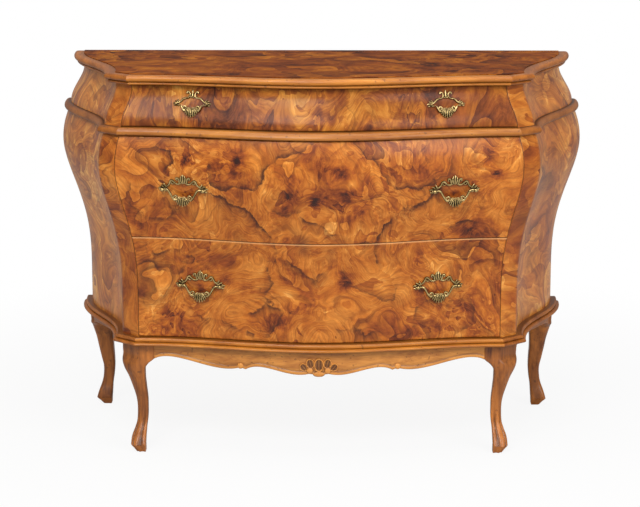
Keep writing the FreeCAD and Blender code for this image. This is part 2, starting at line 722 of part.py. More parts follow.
def build_handles(name, sizes, front):
    """Plates and bails of one drawer; returns the holes for its front."""
    size = sizes["size"]
    x, z = sizes["handle_x"], sizes["pivot"]
    surface, along = face_point(x, z)
    out = Vector(along.y, -along.x, 0)
    turn = math.degrees(math.atan2(along.y, along.x))
    axis_point = surface + out * (PIVOT_STANDOFF * size)

    rise = PLATE[-1][1] * size
    above, _ = face_point(x, z + rise)
    lean = math.degrees(math.atan2((above - surface).dot(out), rise))
    plate = back_plate(size)
    plate.translate(Vector(0, -PLATE_THICKNESS * size, 0))
    plate.rotate(ORIGIN, Vector(1, 0, 0), lean)
    plate.rotate(ORIGIN, UP, turn)
    plate.translate(surface)
    pieces, shanks, holes = [plate], [], []
    for side in (-1, 1):
        foot = surface + along * (side * PIVOT_HALF_SPAN * size)
        post_end = foot + out * (POST_PROUD * size)
        pieces.append(rod([foot - out * PLATE_BEDDING, post_end], POST_RADIUS * size))
        shanks.append(rod([foot - out * SHANK_DEPTH, foot + out * (PLATE_THICKNESS * size)],
                          SHANK_RADIUS))
        holes.append(rod([foot - out * 2 * FRONT_THICKNESS, post_end], SHANK_HOLE))
    pin_half = along * (PIN_END * size)
    bore = rod([axis_point - pin_half, axis_point + pin_half], BORE_RADIUS * size)
    plates = fuse([fuse(pieces).cut([front, bore])] + shanks)

    drop = -GRIP[0][1] * size
    below, _ = face_point(x, z - drop)
    reach = (below - surface).dot(out) + (GRIP_THICKNESS / 2 - PIVOT_STANDOFF) * size + BAIL_GAP
    tilt = max(0.0, math.degrees(math.atan2(reach, drop)))
    swing = bail(size)
    swing.rotate(ORIGIN, Vector(1, 0, 0), -tilt)
    swing.rotate(ORIGIN, UP, turn)
    swing.translate(axis_point)
    print("%s bail pivot (%.3f, %.3f, %.3f) along (%.5f, %.5f) tilt %.2f" %
          (name, axis_point.x, axis_point.y, axis_point.z, along.x, along.y, tilt))

    parts[name + "_handle_plates"] = Part.Compound([plates, mirrored(plates)])
    add_pair(name + "_bail", swing)
    return holes + [mirrored(hole) for hole in holes]


def build_drawer(name, sizes):
    build_box(name, sizes)
    front = solid_front(sizes)
    parts[name + "_drawer_front"] = front.cut(build_handles(name, sizes, front)).Solids[0]


# ================================================================ build and write
def main():
    build_case()
    build_mouldings()
    build_legs()
    build_aprons()
    for name, sizes in DRAWERS.items():
        build_drawer(name, sizes)
    os.makedirs("parts", exist_ok=True)
    for name, shape in parts.items():
        shape.exportStep("parts/%s.step" % name)
    whole = Part.Compound(list(parts.values())).BoundBox
    print("%d nodes, box %.2f %.2f %.2f to %.2f %.2f %.2f" %
          (len(parts), whole.XMin, whole.YMin, whole.ZMin, whole.XMax, whole.YMax, whole.ZMax))


main()
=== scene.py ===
"""Looks of the bombe chest: burl, mouldings, cabriole legs, carved apron, brass handles."""
import bpy, bmesh
from math import atan2, cos, exp, hypot, inf, pi, radians, sin, sqrt, tau
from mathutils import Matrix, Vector

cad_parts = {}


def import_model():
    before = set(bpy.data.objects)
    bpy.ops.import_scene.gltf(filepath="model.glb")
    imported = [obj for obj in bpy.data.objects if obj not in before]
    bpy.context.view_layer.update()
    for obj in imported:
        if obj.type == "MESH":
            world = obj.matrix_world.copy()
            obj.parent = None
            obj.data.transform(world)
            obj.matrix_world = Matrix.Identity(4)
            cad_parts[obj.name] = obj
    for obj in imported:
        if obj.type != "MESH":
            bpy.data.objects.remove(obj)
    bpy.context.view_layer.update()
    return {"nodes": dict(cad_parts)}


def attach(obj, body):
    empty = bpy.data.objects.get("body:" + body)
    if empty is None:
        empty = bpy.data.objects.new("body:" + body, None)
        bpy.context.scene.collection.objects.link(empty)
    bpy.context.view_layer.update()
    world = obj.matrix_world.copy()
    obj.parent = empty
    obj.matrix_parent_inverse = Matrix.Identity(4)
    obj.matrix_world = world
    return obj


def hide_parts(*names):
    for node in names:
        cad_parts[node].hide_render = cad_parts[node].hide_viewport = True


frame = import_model()
scene = bpy.context.scene
MM = 0.001


def vec(x, y, z):
    return Vector((x, y, z))


def added(name, data):
    item = bpy.data.objects.new(name, data)
    scene.collection.objects.link(item)
    return item


# ---- body, in millimetres
LEG_HEIGHT, BASE_TOP, SPLIT, WAIST, WAIST_TOP, CASE_TOP = 244, 262, 489.6, 719.6, 737.6, 830
BELLY, TOP_OPENING, TOP_SETTLE = 649.6, 92.4, 10
BACK_Y, FRONT_Y, CORNER_Y = 262.5, -204.5, -144.5
BACK_HALF_WIDTH, CORNER_HALF_WIDTH = 545, 402
CANT_WIDTH, CANT_DEPTH, SIDE_PULL = 38, 34, 160
BOW_FLAT, BOW_NOSE, NOSE_GAIN = 0.46, 0.24, 1.6
SIDE_SHAPE = (68, 1.6, 61, 45.5, 40.5, 8)
FRONT_SHAPE = (8, 1.3, 58, 46, 36, 6)
SIDE_THICKNESS, FRONT_THICKNESS, APRON_THICKNESS, POST_BACK = 20, 22, 20, 25
LEG_BLOCK = 73
FRONT_NORMAL, SIDE_NORMAL = vec(0, -1, 0), vec(1, 0, 0)
CANT_NORMAL = vec(CANT_DEPTH, -CANT_WIDTH, 0).normalized()
UP = vec(0, 0, 1)
ARRIS = 9     # how far the rounded corner reaches along cant and side
FRONT_GAP, SEAM_GAP, EDGE_RADIUS = 1, 0.5, 1.6     # around the drawer fronts
EDGE_STEPS = (0.0, 0.35, 0.9, 1.8)


def smooth(share):
    share = min(1.0, max(0.0, share))
    return share * share * (3 - 2 * share)


def swell(z, start, skew, belly, under, over, top):
    foot = BASE_TOP + start
    if z <= BELLY:
        return belly * smooth((max(0.0, z - foot) / (BELLY - foot)) ** skew)
    if z <= WAIST:
        return belly - (belly - under) * ((z - BELLY) / (WAIST - BELLY)) ** 2
    if z < WAIST_TOP:
        return under + (over - under) * (z - WAIST) / (WAIST_TOP - WAIST)
    return over + (top - over) * smooth((z - WAIST_TOP) / (TOP_OPENING - TOP_SETTLE))


def mitre(point, first, second, proud):
    return point + (first + second) * (proud / (1 + first.dot(second)))


def corners(z, proud=0.0):
    out = swell(z, *SIDE_SHAPE)
    slide = out * sqrt(0.5)
    corner = vec(CORNER_HALF_WIDTH + slide, CORNER_Y - slide, z)
    cant = corner + vec(CANT_WIDTH, CANT_DEPTH, 0)
    back = vec(BACK_HALF_WIDTH + out, BACK_Y, z)
    return (mitre(corner, FRONT_NORMAL, CANT_NORMAL, proud),
            mitre(cant, CANT_NORMAL, SIDE_NORMAL, proud), back + SIDE_NORMAL * proud)


def bezier(poles, t):
    points = list(poles)
    while len(points) > 1:
        points = [a + (b - a) * t for a, b in zip(points, points[1:])]
    return points[0]


def front_poles(z, proud=0.0, half=None):
    corner = corners(z, proud)[0]
    half = half or corner.x
    middle = FRONT_Y - swell(z, *FRONT_SHAPE) - proud
    nose = corner.y + (middle - corner.y) * NOSE_GAIN
    shape = ((-1, corner.y), (-BOW_FLAT, corner.y), (-BOW_NOSE, nose),
             (BOW_NOSE, nose), (BOW_FLAT, corner.y), (1, corner.y))
    return [vec(share * half, y, z) for share, y in shape]


def side_poles(z, proud=0.0):
    _, start, end = corners(z, proud)
    return [start, start + vec(0, SIDE_PULL, 0), end - vec(0, SIDE_PULL, 0), end]


def solve(poles, axis, value):
    """The parameter where a curve reaches a value along one axis."""
    low, high = 0.0, 1.0
    for _ in range(40):
        middle = (low + high) / 2
        if bezier(poles, middle)[axis] < value:
            low = middle
        else:
            high = middle
    return low


def face_point(x, z):
    poles = front_poles(z)
    t = solve(poles, 0, x)
    along = bezier(poles, min(1.0, t + 1e-3)) - bezier(poles, max(0.0, t - 1e-3))
    return bezier(poles, t), along.normalized()


def spread(low, high, count):
    return [low + (high - low) * step / count for step in range(count + 1)]


def circle(count):
    return spread(0, tau, count)[:-1]


def edged(low, high, count):
    """Even steps between two limits, with finer ones beside each limit."""
    inner = spread(low + EDGE_STEPS[-1] * 2, high - EDGE_STEPS[-1] * 2, count)
    return [low + s for s in EDGE_STEPS] + inner + [high - s for s in reversed(EDGE_STEPS)]


def rounding(distance, radius):
    """How far a rounded edge falls away, at a distance from the edge."""
    if distance >= radius:
        return 0.0
    return radius - sqrt(max(0.0, radius ** 2 - (radius - distance) ** 2))


# ---- mesh building
WELD = 2e-6     # metres
SMOOTH_ANGLE, CARVED_ANGLE, BRASS_ANGLE = 38, 50, 60


class Shape:
    """Collects grids of points, in millimetres, into one mesh; marks are the painted shading of
    each point: painted shade above zero, painted highlight below.
    """

    def __init__(self):
        self.points, self.faces, self.kinds, self.marks = [], [], [], []

    def grid(self, rows, kind=0, around=False, marks=None, keep=None):
        base, wide = len(self.points), len(rows[0])
        for row in rows:
            self.points += [Vector(p) for p in row]
        self.marks += [m for row in marks for m in row] if marks else [0.0] * (wide * len(rows))
        for i in range(len(rows) - 1):
            for j in range(wide if around else wide - 1):
                k = (j + 1) % wide
                if keep and not (keep[i][j] or keep[i][k] or keep[i + 1][k] or keep[i + 1][j]):
                    continue
                self.faces.append((base + i * wide + j, base + i * wide + k,
                                   base + (i + 1) * wide + k, base + (i + 1) * wide + j))
                self.kinds.append(kind)

    def shell(self, outer, inner, kind=0, marks=None):
        """Two skins of the same count, closed along all four of their edges."""
        self.grid(outer, marks=marks)
        self.grid(inner, kind)
        for end in (0, -1):
            self.grid([outer[end], inner[end]], kind)
        for end in (0, -1):
            self.grid([[row[end] for row in skin] for skin in (outer, inner)], kind)

    def solid(self, rings, marks):
        """Rings joined one after another, closed at both ends."""
        self.grid(rings, around=True, marks=marks)
        self.fan(rings[0])
        self.fan(rings[-1])

    def fan(self, ring, kind=0):
        base = len(self.points)
        self.points += [Vector(p) for p in ring]
        self.marks += [0.0] * len(ring)
        self.faces.append(tuple(range(base, base + len(ring))))
        self.kinds.append(kind)

    def add(self, other, place=None):
        base = len(self.points)
        self.points += [place(p) if place else p for p in other.points]
        self.faces += [tuple(base + i for i in face) for face in other.faces]
        self.kinds += other.kinds
        self.marks += other.marks

    def mirror(self):
        twin = Shape()
        twin.points = [vec(-p.x, p.y, p.z) for p in self.points]
        twin.faces = [tuple(reversed(face)) for face in self.faces]
        twin.kinds, twin.marks = list(self.kinds), list(self.marks)
        return twin

    def build(self, name, materials, body, slot, node, angle=SMOOTH_ANGLE):
        mesh = bpy.data.meshes.new(name)
        mesh.from_pydata([p * MM for p in self.points], [], self.faces)
        mesh.polygons.foreach_set("material_index", self.kinds)
        mesh.attributes.new("recess", "FLOAT", "POINT").data.foreach_set("value", self.marks)
        bm = bmesh.new()
        bm.from_mesh(mesh)
        loose = [vertex for vertex in bm.verts if not vertex.link_faces]
        bmesh.ops.delete(bm, geom=loose, context="VERTS")
        bmesh.ops.remove_doubles(bm, verts=bm.verts, dist=WELD)
        bmesh.ops.recalc_face_normals(bm, faces=bm.faces)
        bm.to_mesh(mesh)
        bm.free()
        for material in materials:
            mesh.materials.append(material)
        mesh.shade_smooth()
        mesh.set_sharp_from_angle(angle=radians(angle))
        piece = added(name, mesh)
        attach(piece, body)
        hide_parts(node)
        return piece


def pair(shape, name, materials, slot, node):
    shape.build(name + "_right", materials, "carcass", slot, node + "_right")
    shape.mirror().build(name + "_left", materials, "carcass", slot, node + "_left")


# ---- materials
class Graph:
    """Nodes of a material or of the world, built up by calls that return output sockets."""

    def __init__(self, owner, kind="Material"):
        owner.use_nodes = True
        self.owner, self.tree = owner, owner.node_tree
        self.tree.nodes.clear()
        self.out = self.tree.nodes.new("ShaderNodeOutput" + kind)

    def node(self, kind, inputs, output=0, **settings):
        node = self.tree.nodes.new("ShaderNode" + kind)
        for key, value in settings.items():
            setattr(node, key, value)
        for key, value in inputs.items():
            self.put(node.inputs[key], value)
        return node.outputs[output]

    def put(self, socket, value):
        if isinstance(value, bpy.types.NodeSocket):
            self.tree.links.new(value, socket)
        else:
            if socket.type == "RGBA" and len(value) == 3:
                value = (*value, 1)
            socket.default_value = value

    def place(self):
        """Where a spot is on its object."""
        return self.node("TexCoord", {}, output=3)

    def kept(self, name):
        """A number kept on the points of the mesh."""
        return self.node("Attribute", {}, output=2, attribute_name=name)

    def split(self, vector):
        return self.node("SeparateXYZ", {0: vector}).node.outputs

    def math(self, operation, *values, clamp=False):
        return self.node("Math", dict(enumerate(values)), operation=operation, use_clamp=clamp)

    def times(self, first, *others):
        for other in others:
            first = self.math("MULTIPLY", first, other)
        return first

    def times_plus(self, *values):
        return self.math("MULTIPLY_ADD", *values)

    def vmath(self, operation, first, second):
        return self.node("VectorMath", {0: first, 1: second}, operation=operation)

    def noise(self, vector, scale, detail=2.0, rough=0.5, output=0):
        return self.node("TexNoise", {"Vector": vector, "Scale": scale, "Detail": detail,
                                      "Roughness": rough}, output)

    def cells(self, vector, scale, output=0):
        return self.node("TexVoronoi", {"Vector": vector, "Scale": scale}, output)

    def ramp(self, value, *stops):
        node = self.tree.nodes.new("ShaderNodeValToRGB")
        elements = node.color_ramp.elements
        while len(elements) < len(stops):
            elements.new(1)
        for element, (at, colour) in zip(elements, stops):
            element.position = at
            element.color = (*colour, 1)
        self.put(node.inputs[0], value)
        return node.outputs[0]

    def step(self, value, low, high, to_low=0.0, to_high=1.0):
        return self.node("MapRange", {0: value, 1: low, 2: high, 3: to_low, 4: to_high},
                         interpolation_type="SMOOTHSTEP")

    def mix(self, share, first, second, blend="MIX"):
        node = self.tree.nodes.new("ShaderNodeMix")
        node.data_type, node.blend_type = "RGBA", blend
        for socket, value in ((0, share), (6, first), (7, second)):
            self.put(node.inputs[socket], value)
        return node.outputs[2]

    def warped(self, vector, *layers):
        """The vector pushed about by noises, each of a scale and an amount."""
        for scale, amount in layers:
            shift = self.vmath("SUBTRACT", self.noise(vector, scale, output=1), (0.5, 0.5, 0.5))
            shift = self.node("VectorMath", {0: shift, "Scale": amount}, operation="SCALE")
            vector = self.vmath("ADD", vector, shift)
        return vector

    def finish(self, colour, bump, strength, **values):
        """Ends in a Principled shader; the values are named as its sockets are."""
        inputs = {"Base Color": colour,
                  "Normal": self.node("Bump", {"Strength": strength, "Distance": BUMP_DEPTH,
                                               "Height": bump})}
        for key, value in values.items():
            inputs[key.replace("_", " ").title().replace("Ior", "IOR")] = value
        self.put(self.out.inputs[0], self.node("BsdfPrincipled", inputs))
        return self.owner


def material_graph(name):
    return Graph(bpy.data.materials.new(name))


def rgb(r, g, b):
    """A colour as seen on a screen, as the linear one that a shader takes."""
    return tuple((c / 255 / 12.92) if c <= 10 else ((c / 255 + 0.055) / 1.055) ** 2.4
                 for c in (r, g, b))


DARK, UMBER = rgb(46, 18, 10), rgb(92, 38, 12)
RUSSET, AMBER = rgb(138, 66, 18), rgb(172, 96, 26)
HONEY, PALE = rgb(198, 124, 46), rgb(224, 160, 80)
KNOT, VEIN_SHADE, VEIN_CORE = rgb(84, 36, 20), rgb(98, 42, 14), rgb(58, 27, 13)
# Painted shade for the edges of the drawer fronts and for recesses and creases in the solid wood;
# a painted highlight for the top edge of the bottom drawer.
EDGE_SHADE, RECESS_SHADE = rgb(52, 26, 10), rgb(48, 22, 8)
FLECK, EDGE_HIGHLIGHT = rgb(70, 38, 20), rgb(222, 164, 108)
BUMP_DEPTH, COAT_ROUGHNESS = 0.0005, 0.22


def burl(name, plane, seed, scale=1.0, deeper=0.0, squeeze=(1, 1), figured=False,
         shine=1.0, tone=None):
    """Burl veneer in the plane of two of the axes, matched left and right near the middle.

    A figured one also takes what figure() keeps on the mesh: veins, clouds, painted shade along
    the edges and a painted highlight on one top edge.
    """
    g = material_graph(name)
    parts = dict(zip("xyz", g.split(g.place())))
    first = parts[plane[0]]
    if plane[0] == "x":
        first = g.math("ABSOLUTE", first)
    flat = g.node("CombineXYZ", {
        0: g.times(first, squeeze[0] * scale), 1: g.times(parts[plane[1]], squeeze[1] * scale),
        2: g.times_plus(parts["x"], 0.45, seed)})
    flow = g.warped(flat, (3, 0.15), (8, 0.07), (21, 0.018), (75, 0.005))

    def layer(shift, scale, detail=2.0, rough=0.5):
        vector = g.vmath("ADD", flow, (0, 0, shift)) if shift else flow
        return g.noise(vector, scale, detail, rough)

    def saw(value, teeth):
        """Growth that deepens slowly and ends at a sharp edge."""
        return g.math("FRACT", g.times(value, teeth))

    def swing(value, amount):
        return g.times(g.math("SUBTRACT", value, 0.5), amount)

    def patchy(scale, low, high):
        return g.step(g.noise(g.vmath("ADD", flat, (0, 0, scale)), scale), low, high)

    big = layer(0, 4, 2, 0.45)
    wide = saw(big, 5)
    middle, little = saw(layer(3, 10), 5), saw(layer(6, 27), 4.6)
    mottle, cloud = layer(9, 30, 8, 0.72), layer(0, 7, 4, 0.6)
    shard = g.node("SeparateColor", {0: g.cells(g.warped(flow, (14, 0.035)), 15, output=1)})
    busy = patchy(4, 0.44, 0.62)
    if figured:
        busy = g.math("MAXIMUM", busy, g.kept("busy"))
    value = g.math("ADD", swing(cloud, 0.62), 0.43 + deeper)
    value = g.math("ADD", value, swing(mottle, 0.92))
    for part, amount, where in ((shard, 0.19, patchy(5.6, 0.38, 0.58)),
                                (wide, 0.14 if figured else 0.3, patchy(5, 0.36, 0.60)),
                                (middle, 0.27, patchy(7, 0.40, 0.60)),
                                (little, 0.26, busy)):
        value = g.times_plus(swing(part, amount), where, value)
    if figured:
        value = g.times_plus(g.kept("tint"), g.step(mottle, 0.35, 0.65, 0.45, 1.5), value)
    colour = g.ramp(value, (0.06, PALE), (0.24, HONEY), (0.44, AMBER), (0.62, RUSSET),
                    (0.80, UMBER), (0.98, DARK))
    # the dark of the sharp edges
    for edge, power, where, share in ((wide, 7, patchy(6, 0.46, 0.60), 0.55),
                                      (middle, 9, patchy(9, 0.47, 0.60), 0.45)):
        colour = g.mix(g.times(g.math("POWER", edge, power), where, share), colour, DARK)
    # knots with a red-brown eye
    eye = g.cells(g.warped(flat, (9, 0.04), (40, 0.012)), 5.2)
    halo = g.times(g.step(eye, 0.04, 0.26, 1, 0), patchy(8, 0.50, 0.60), 0.75)
    colour = g.mix(halo, colour, KNOT)
    if figured:
        away = g.math("ADD", g.kept("vein"), swing(g.noise(flat, 24, 5, 0.6), 40))
        force = g.times(g.kept("force"), g.step(layer(0, 20, 4, 0.6), 0.38, 0.58, 0.18, 1))
        # sharp on one side of the vein, fading into the wood on the other
        for rise, fall, share, shade in (((-2.6, 1.2), (1, 30), 0.75, VEIN_SHADE),
                                         ((-2, 0.6), (0.8, 9), 0.9, VEIN_CORE)):
            share = g.times(g.step(away, *rise), g.step(away, *fall, 1, 0), force, share)
            colour = g.mix(share, colour, shade)
    # fibres that follow the growth
    along = g.split(flow)
    fibre = g.noise(g.node("CombineXYZ", {0: g.times(big, 130), 1: g.times(along[0], 12),
                                          2: g.times(along[1], 12)}), 1, 5, 0.68)
    colour = g.mix(0.9, colour, g.ramp(fibre, (0.34, (0.50, 0.42, 0.37)),
                                       (0.60, (1.06, 1.04, 1))), "MULTIPLY")
    if tone:
        colour = g.mix(1, colour, tone, "MULTIPLY")
    if figured:
        # painted shade along the edges of the drawers, widest along the top edges under the
        # mouldings, and a painted highlight along the top edge of the bottom drawer
        rim = g.times_plus(g.noise(flat, 60), 3, g.kept("rim"))
        colour = g.mix(g.times(g.step(rim, 1.2, 4.2, 1, 0), 0.6), colour, EDGE_SHADE)
        colour = g.mix(g.times(g.kept("highlight_line"), 0.75), colour, EDGE_HIGHLIGHT)
    return g.finish(colour, bump=fibre, strength=0.04, roughness=0.5, coat_weight=0.22 * shine,
                    coat_roughness=COAT_ROUGHNESS, ior=1.4, specular_ior_level=0.28 * shine)


def timber(name, light, dark, along, seed, gloss=0.45, coat=0.2, fleck=0.5):
    """Solid wood with straight grain along one axis."""
    g = material_graph(name)
    place = g.vmath("ADD", g.place(), (seed, seed * 0.7, seed * 1.3))
    bent = g.warped(place, (2.5, 0.05), (14, 0.006))
    stretch = {"x": (3, 70, 70), "y": (70, 3, 70), "z": (60, 60, 3.5)}[along]
    grain = g.noise(g.vmath("MULTIPLY", bent, stretch), 1, 4, 0.6)
    fine = g.noise(g.vmath("MULTIPLY", bent, tuple(5 * part for part in stretch)), 1)
    cloud = g.noise(place, 7, 3, 0.55)
    value = g.times_plus(grain, 0.75, g.times(cloud, 0.55))
    value = g.times_plus(fine, 0.25, value)
    between = tuple((a + b) / 2 for a, b in zip(light, dark))
    colour = g.ramp(value, (0.56, dark), (0.76, between), (0.96, light))
    spots = g.step(g.noise(g.vmath("MULTIPLY", bent, (150, 150, 150)), 1, 0), 0.735, 0.80)
    colour = g.mix(g.times(spots, fleck), colour, FLECK)
    # painted shade in recesses and creases where the mark is above zero, broken up by a noise, and
    # a painted highlight where it is below zero
    recess = g.kept("recess")
    colour = g.mix(g.math("MULTIPLY", recess, -1, clamp=True), colour,
                   tuple(1.1 * part for part in light))
    shade_share = g.math("MULTIPLY", recess, g.step(cloud, 0.2, 0.6, 0.75, 1), clamp=True)
    colour = g.mix(shade_share, colour, RECESS_SHADE)
    return g.finish(colour, bump=grain, strength=0.12, roughness=gloss, coat_weight=coat,
                    coat_roughness=COAT_ROUGHNESS, specular_ior_level=0.3)


BURL_FRONT = burl("burl_front", "xz", 7.7, figured=True)
BURL_TOP_DRAWER = burl("burl_top_drawer", "xz", 8.3, 0.8, 0.13, (1.3, 0.9), figured=True,
                       shine=0.6, tone=(0.90, 1.04, 1.12))
# Lighter than the fronts: a painted sheen that stands in for the pale reflection on the side
# panels.
BURL_SIDE = burl("burl_side", "yz", 5.1, 0.72, -0.09, (0.85, 1), shine=1.6,
                 tone=(1.06, 1.08, 0.97))
BURL_TOP = burl("burl_top", "xy", 11.9, 0.85, 0.17, (0.6, 1), shine=0.12,
                tone=(0.68, 0.69, 0.42))
STILE = burl("stile_veneer", "yz", 2.2, 0.8, 0.03, (0.6, 1))
MOULDING = timber("moulding_wood", rgb(190, 120, 38), rgb(136, 72, 16), "x", 1)
# Darker than the front moulding wood: painted shade for the side runs and side aprons.
MOULDING_SIDE = timber("moulding_side_wood", rgb(168, 99, 32), rgb(112, 56, 12), "y", 2,
                       coat=0.08)
LEG_WOOD = timber("leg_wood", rgb(174, 104, 40), rgb(78, 34, 10), "z", 3)
# Lighter than the other walnut: painted light for the front apron, which lies in the shade of the
# base moulding.
APRON_WOOD = timber("apron_wood", rgb(206, 138, 62), rgb(134, 74, 26), "x", 4)
BARE = dict(gloss=0.6, coat=0.0, fleck=0.15)
DRAWER_WOOD = timber("drawer_wood", rgb(206, 172, 124), rgb(168, 130, 84), "x", 5, **BARE)
DRAWER_SIDE_WOOD = timber("drawer_side_wood", rgb(206, 172, 124), rgb(166, 128, 82), "y", 6,
                          **BARE)
POST_WOOD = timber("post_wood", rgb(200, 154, 104), rgb(154, 106, 64), "z", 7,
                   gloss=0.65, coat=0.0, fleck=0.2)


def brass():
    g = material_graph("aged_brass")
    wear = g.noise(g.place(), 90, 4, 0.6)
    # The marks paint shading into the brass: dark on the flanks of rods and near the drawer's
    # face, pale on the outward faces.
    value = g.times_plus(g.step(g.kept("recess"), 0.9, 0.15), 0.62, g.times(wear, 0.46))
    colour = g.ramp(value, (0.24, rgb(20, 14, 7)), (0.50, rgb(48, 34, 16)),
                    (0.74, rgb(114, 92, 50)), (0.96, rgb(210, 182, 124)))
    return g.finish(colour, bump=wear, strength=0.08, metallic=0.85,
                    roughness=g.step(value, 0.2, 0.9, 0.6, 0.32))


BRASS = brass()

# ---- drawer fronts
# Veins across the two lower drawers: force, and points (x, z); the shade lies on their right.
VEINS = (
    (1.0, ((-253, 602), (-217, 592), (-187, 574), (-151, 558), (-133, 533), (-106, 510),
     (-96, 486), (-92, 451))),
    (1.0, ((129, 448), (118, 470), (125, 505), (140, 530), (173, 557), (209, 576), (239, 592),
     (263, 609))),
    (0.9, ((-15, 711), (-42, 694), (-84, 687), (-104, 666), (-123, 635), (-138, 611), (-180, 616),
     (-210, 609), (-233, 623), (-240, 660))),
    (0.9, ((259, 648), (251, 620), (215, 609), (175, 607), (148, 628), (133, 659), (121, 676),
     (94, 689))),
    (0.8, ((-36, 551), (-7, 540), (23, 517), (59, 499), (107, 495))),
    (0.8, ((-362, 458), (-319, 463), (-276, 444), (-305, 405), (-354, 412), (-378, 430),
     (-414, 421))),
    (0.8, ((-281, 331), (-253, 306), (-207, 303), (-173, 290), (-148, 275))),
    (0.5, ((170, 389), (163, 350), (108, 372), (69, 399), (49, 425))),
    (0.8, ((-151, 329), (-117, 348), (-71, 336), (-87, 304), (-117, 274))),
    (0.9, ((-385, 690), (-356, 695), (-324, 687), (-318, 668), (-329, 644))),
    (0.9, ((286, 524), (332, 535), (372, 523), (394, 501), (418, 490))),
    (0.7, ((41, 292), (78, 297), (102, 282), (130, 285))),
    (0.7, ((-110, 430), (-101, 392), (-117, 359), (-92, 351))),
    (0.6, ((207, 298), (212, 336), (243, 352), (292, 357))),
    (0.6, ((274, 326), (289, 351), (329, 356), (348, 330), (342, 293), (306, 275))),
    (0.8, ((-67, 452), (-37, 427), (-7, 405), (5, 421))),
    (0.6, ((-42, 562), (-66, 548), (-96, 561))),
    (0.6, ((-406, 610), (-413, 572), (-384, 539), (-341, 534), (-317, 555), (-346, 586))))
# Darker and lighter clouds: x, z, radius, tint.
# Most are tone in the burl; the four by the handles, at z 594 and 372, are painted shadows of the
# bails, the darker row near z 740 is painted shade along the top drawer's rolled lower edge, and
# the two lighter ones above it are a painted sheen.
CLOUDS = (
    (-288, 672, 13, 0.55), (19, 647, 13, 0.25), (9, 679, 14, 0.15), (-177, 670, 9, 0.5),
    (368, 686, 17, 0.3), (385, 641, 13, 0.35), (-365, 563, 42, 0.16), (59, 404, 17, 0.4),
    (326, 513, 26, 0.26), (314, 315, 38, 0.14), (-408, 359, 30, 0.18), (-313, 291, 34, 0.18),
    (-99, 310, 26, 0.28), (-31, 356, 24, 0.16), (-180, 650, 55, 0.14), (190, 650, 50, 0.14),
    (0, 610, 60, 0.1), (-355, 672, 20, -0.2), (-242, 552, 60, -0.1), (240, 540, 56, -0.1),
    (181, 414, 60, -0.12), (-68, 368, 22, -0.2), (17, 318, 30, -0.14), (-40, 520, 22, -0.2),
    (90, 520, 24, -0.16), (-85, 640, 12, 0.3), (-60, 600, 16, 0.24), (10, 612, 16, 0.1),
    (45, 650, 14, 0.34), (62, 600, 14, 0.3), (-10, 585, 12, 0.34), (85, 562, 14, 0.26),
    (-75, 565, 12, 0.34), (-20, 628, 14, -0.3), (70, 625, 12, -0.3), (-45, 655, 12, -0.24),
    (30, 530, 18, -0.24), (-200, 400, 13, 0.28), (-240, 440, 16, 0.2), (-60, 430, 14, 0.26),
    (-150, 380, 18, 0.14), (210, 440, 20, 0.1), (230, 370, 24, 0.12), (-380, 330, 18, -0.14),
    (-60, 785, 34, -0.2), (60, 770, 30, -0.14), (-250, 742, 22, 0.2), (-180, 740, 22, 0.2),
    (-90, 738, 20, 0.2), (110, 738, 22, 0.2), (200, 740, 20, 0.2), (-292, 594, 13, 0.3),
    (292, 594, 13, 0.3), (-260, 372, 13, 0.3), (260, 372, 13, 0.3))


def vein_at(x, z):
    """Signed distance to the nearest vein, and its force there, fading off and past its ends."""
    best = (inf, 0.0, 0.0)
    for force, points in VEINS:
        for (ax, az), (bx, bz) in zip(points, points[1:]):
            run_x, run_z = bx - ax, bz - az
            reach = hypot(run_x, run_z)
            t = ((x - ax) * run_x + (z - az) * run_z) / reach ** 2
            past = max(-t if (ax, az) == points[0] else 0.0,
                       t - 1 if (bx, bz) == points[-1] else 0.0) * reach
            t = min(1.0, max(0.0, t))
            off_x, off_z = x - ax - run_x * t, z - az - run_z * t
            far = hypot(off_x, off_z)
            if far < best[0]:
                right = off_x * run_z - off_z * run_x > 0
                fade = 1 - smooth((far - 8) / 34) if right else 1 - smooth((far - 6) / 8)
                best = (far, far if right else -far, force * fade * (1 - smooth(past / 10)))
    return best[1:]


def figure(piece, low, high):
    """Keeps the figure of a front's burl on the points of its mesh, with painted shade along its
    edges and a painted highlight along the bottom drawer's top edge.
    """
    foot, head = (0.9, 4.0) if low < SPLIT < high + 1 else (1.0, 0.45)
    rows = []
    for vertex in piece.data.vertices:
        x, z = vertex.co.x / MM, vertex.co.z / MM
        vein, force = vein_at(x, z)
        rows.append((
            vein, force if z < WAIST else 0.0,
            sum(tint * exp(-((x - cx) ** 2 + (z - cz) ** 2) / radius ** 2)
                for cx, cz, radius, tint in CLOUDS),
            exp(-(x / 130) ** 2 - ((z - 560) / 130) ** 2),
            # painted shade along the edges, widest along the top edges under the mouldings; then a
            # painted highlight along the bottom drawer's top edge
            min((z - low) * foot, (high - z) * head + foot, corners(z)[0].x - FRONT_GAP - abs(x)),
            max(0.0, 1 - (high - z) / 3.2) if head > 1 else 0.0))
    for name, numbers in zip(("vein", "force", "tint", "busy", "rim", "highlight_line"), zip(*rows)):
        piece.data.attributes.new(name, "FLOAT", "POINT").data.foreach_set("value", numbers)


DRAWERS = {  # lowest and highest of the front, handle height, handle X, handle size, tilt
    "bottom": (BASE_TOP + FRONT_GAP, SPLIT - SEAM_GAP, 384, 260.4, 1, 0),
    "middle": (SPLIT + SEAM_GAP, WAIST - FRONT_GAP, 605.6, 292.6, 1, 0),
    "top": (WAIST_TOP + FRONT_GAP, CASE_TOP - 4, 787.1, 274, 0.75, 16.48),
}


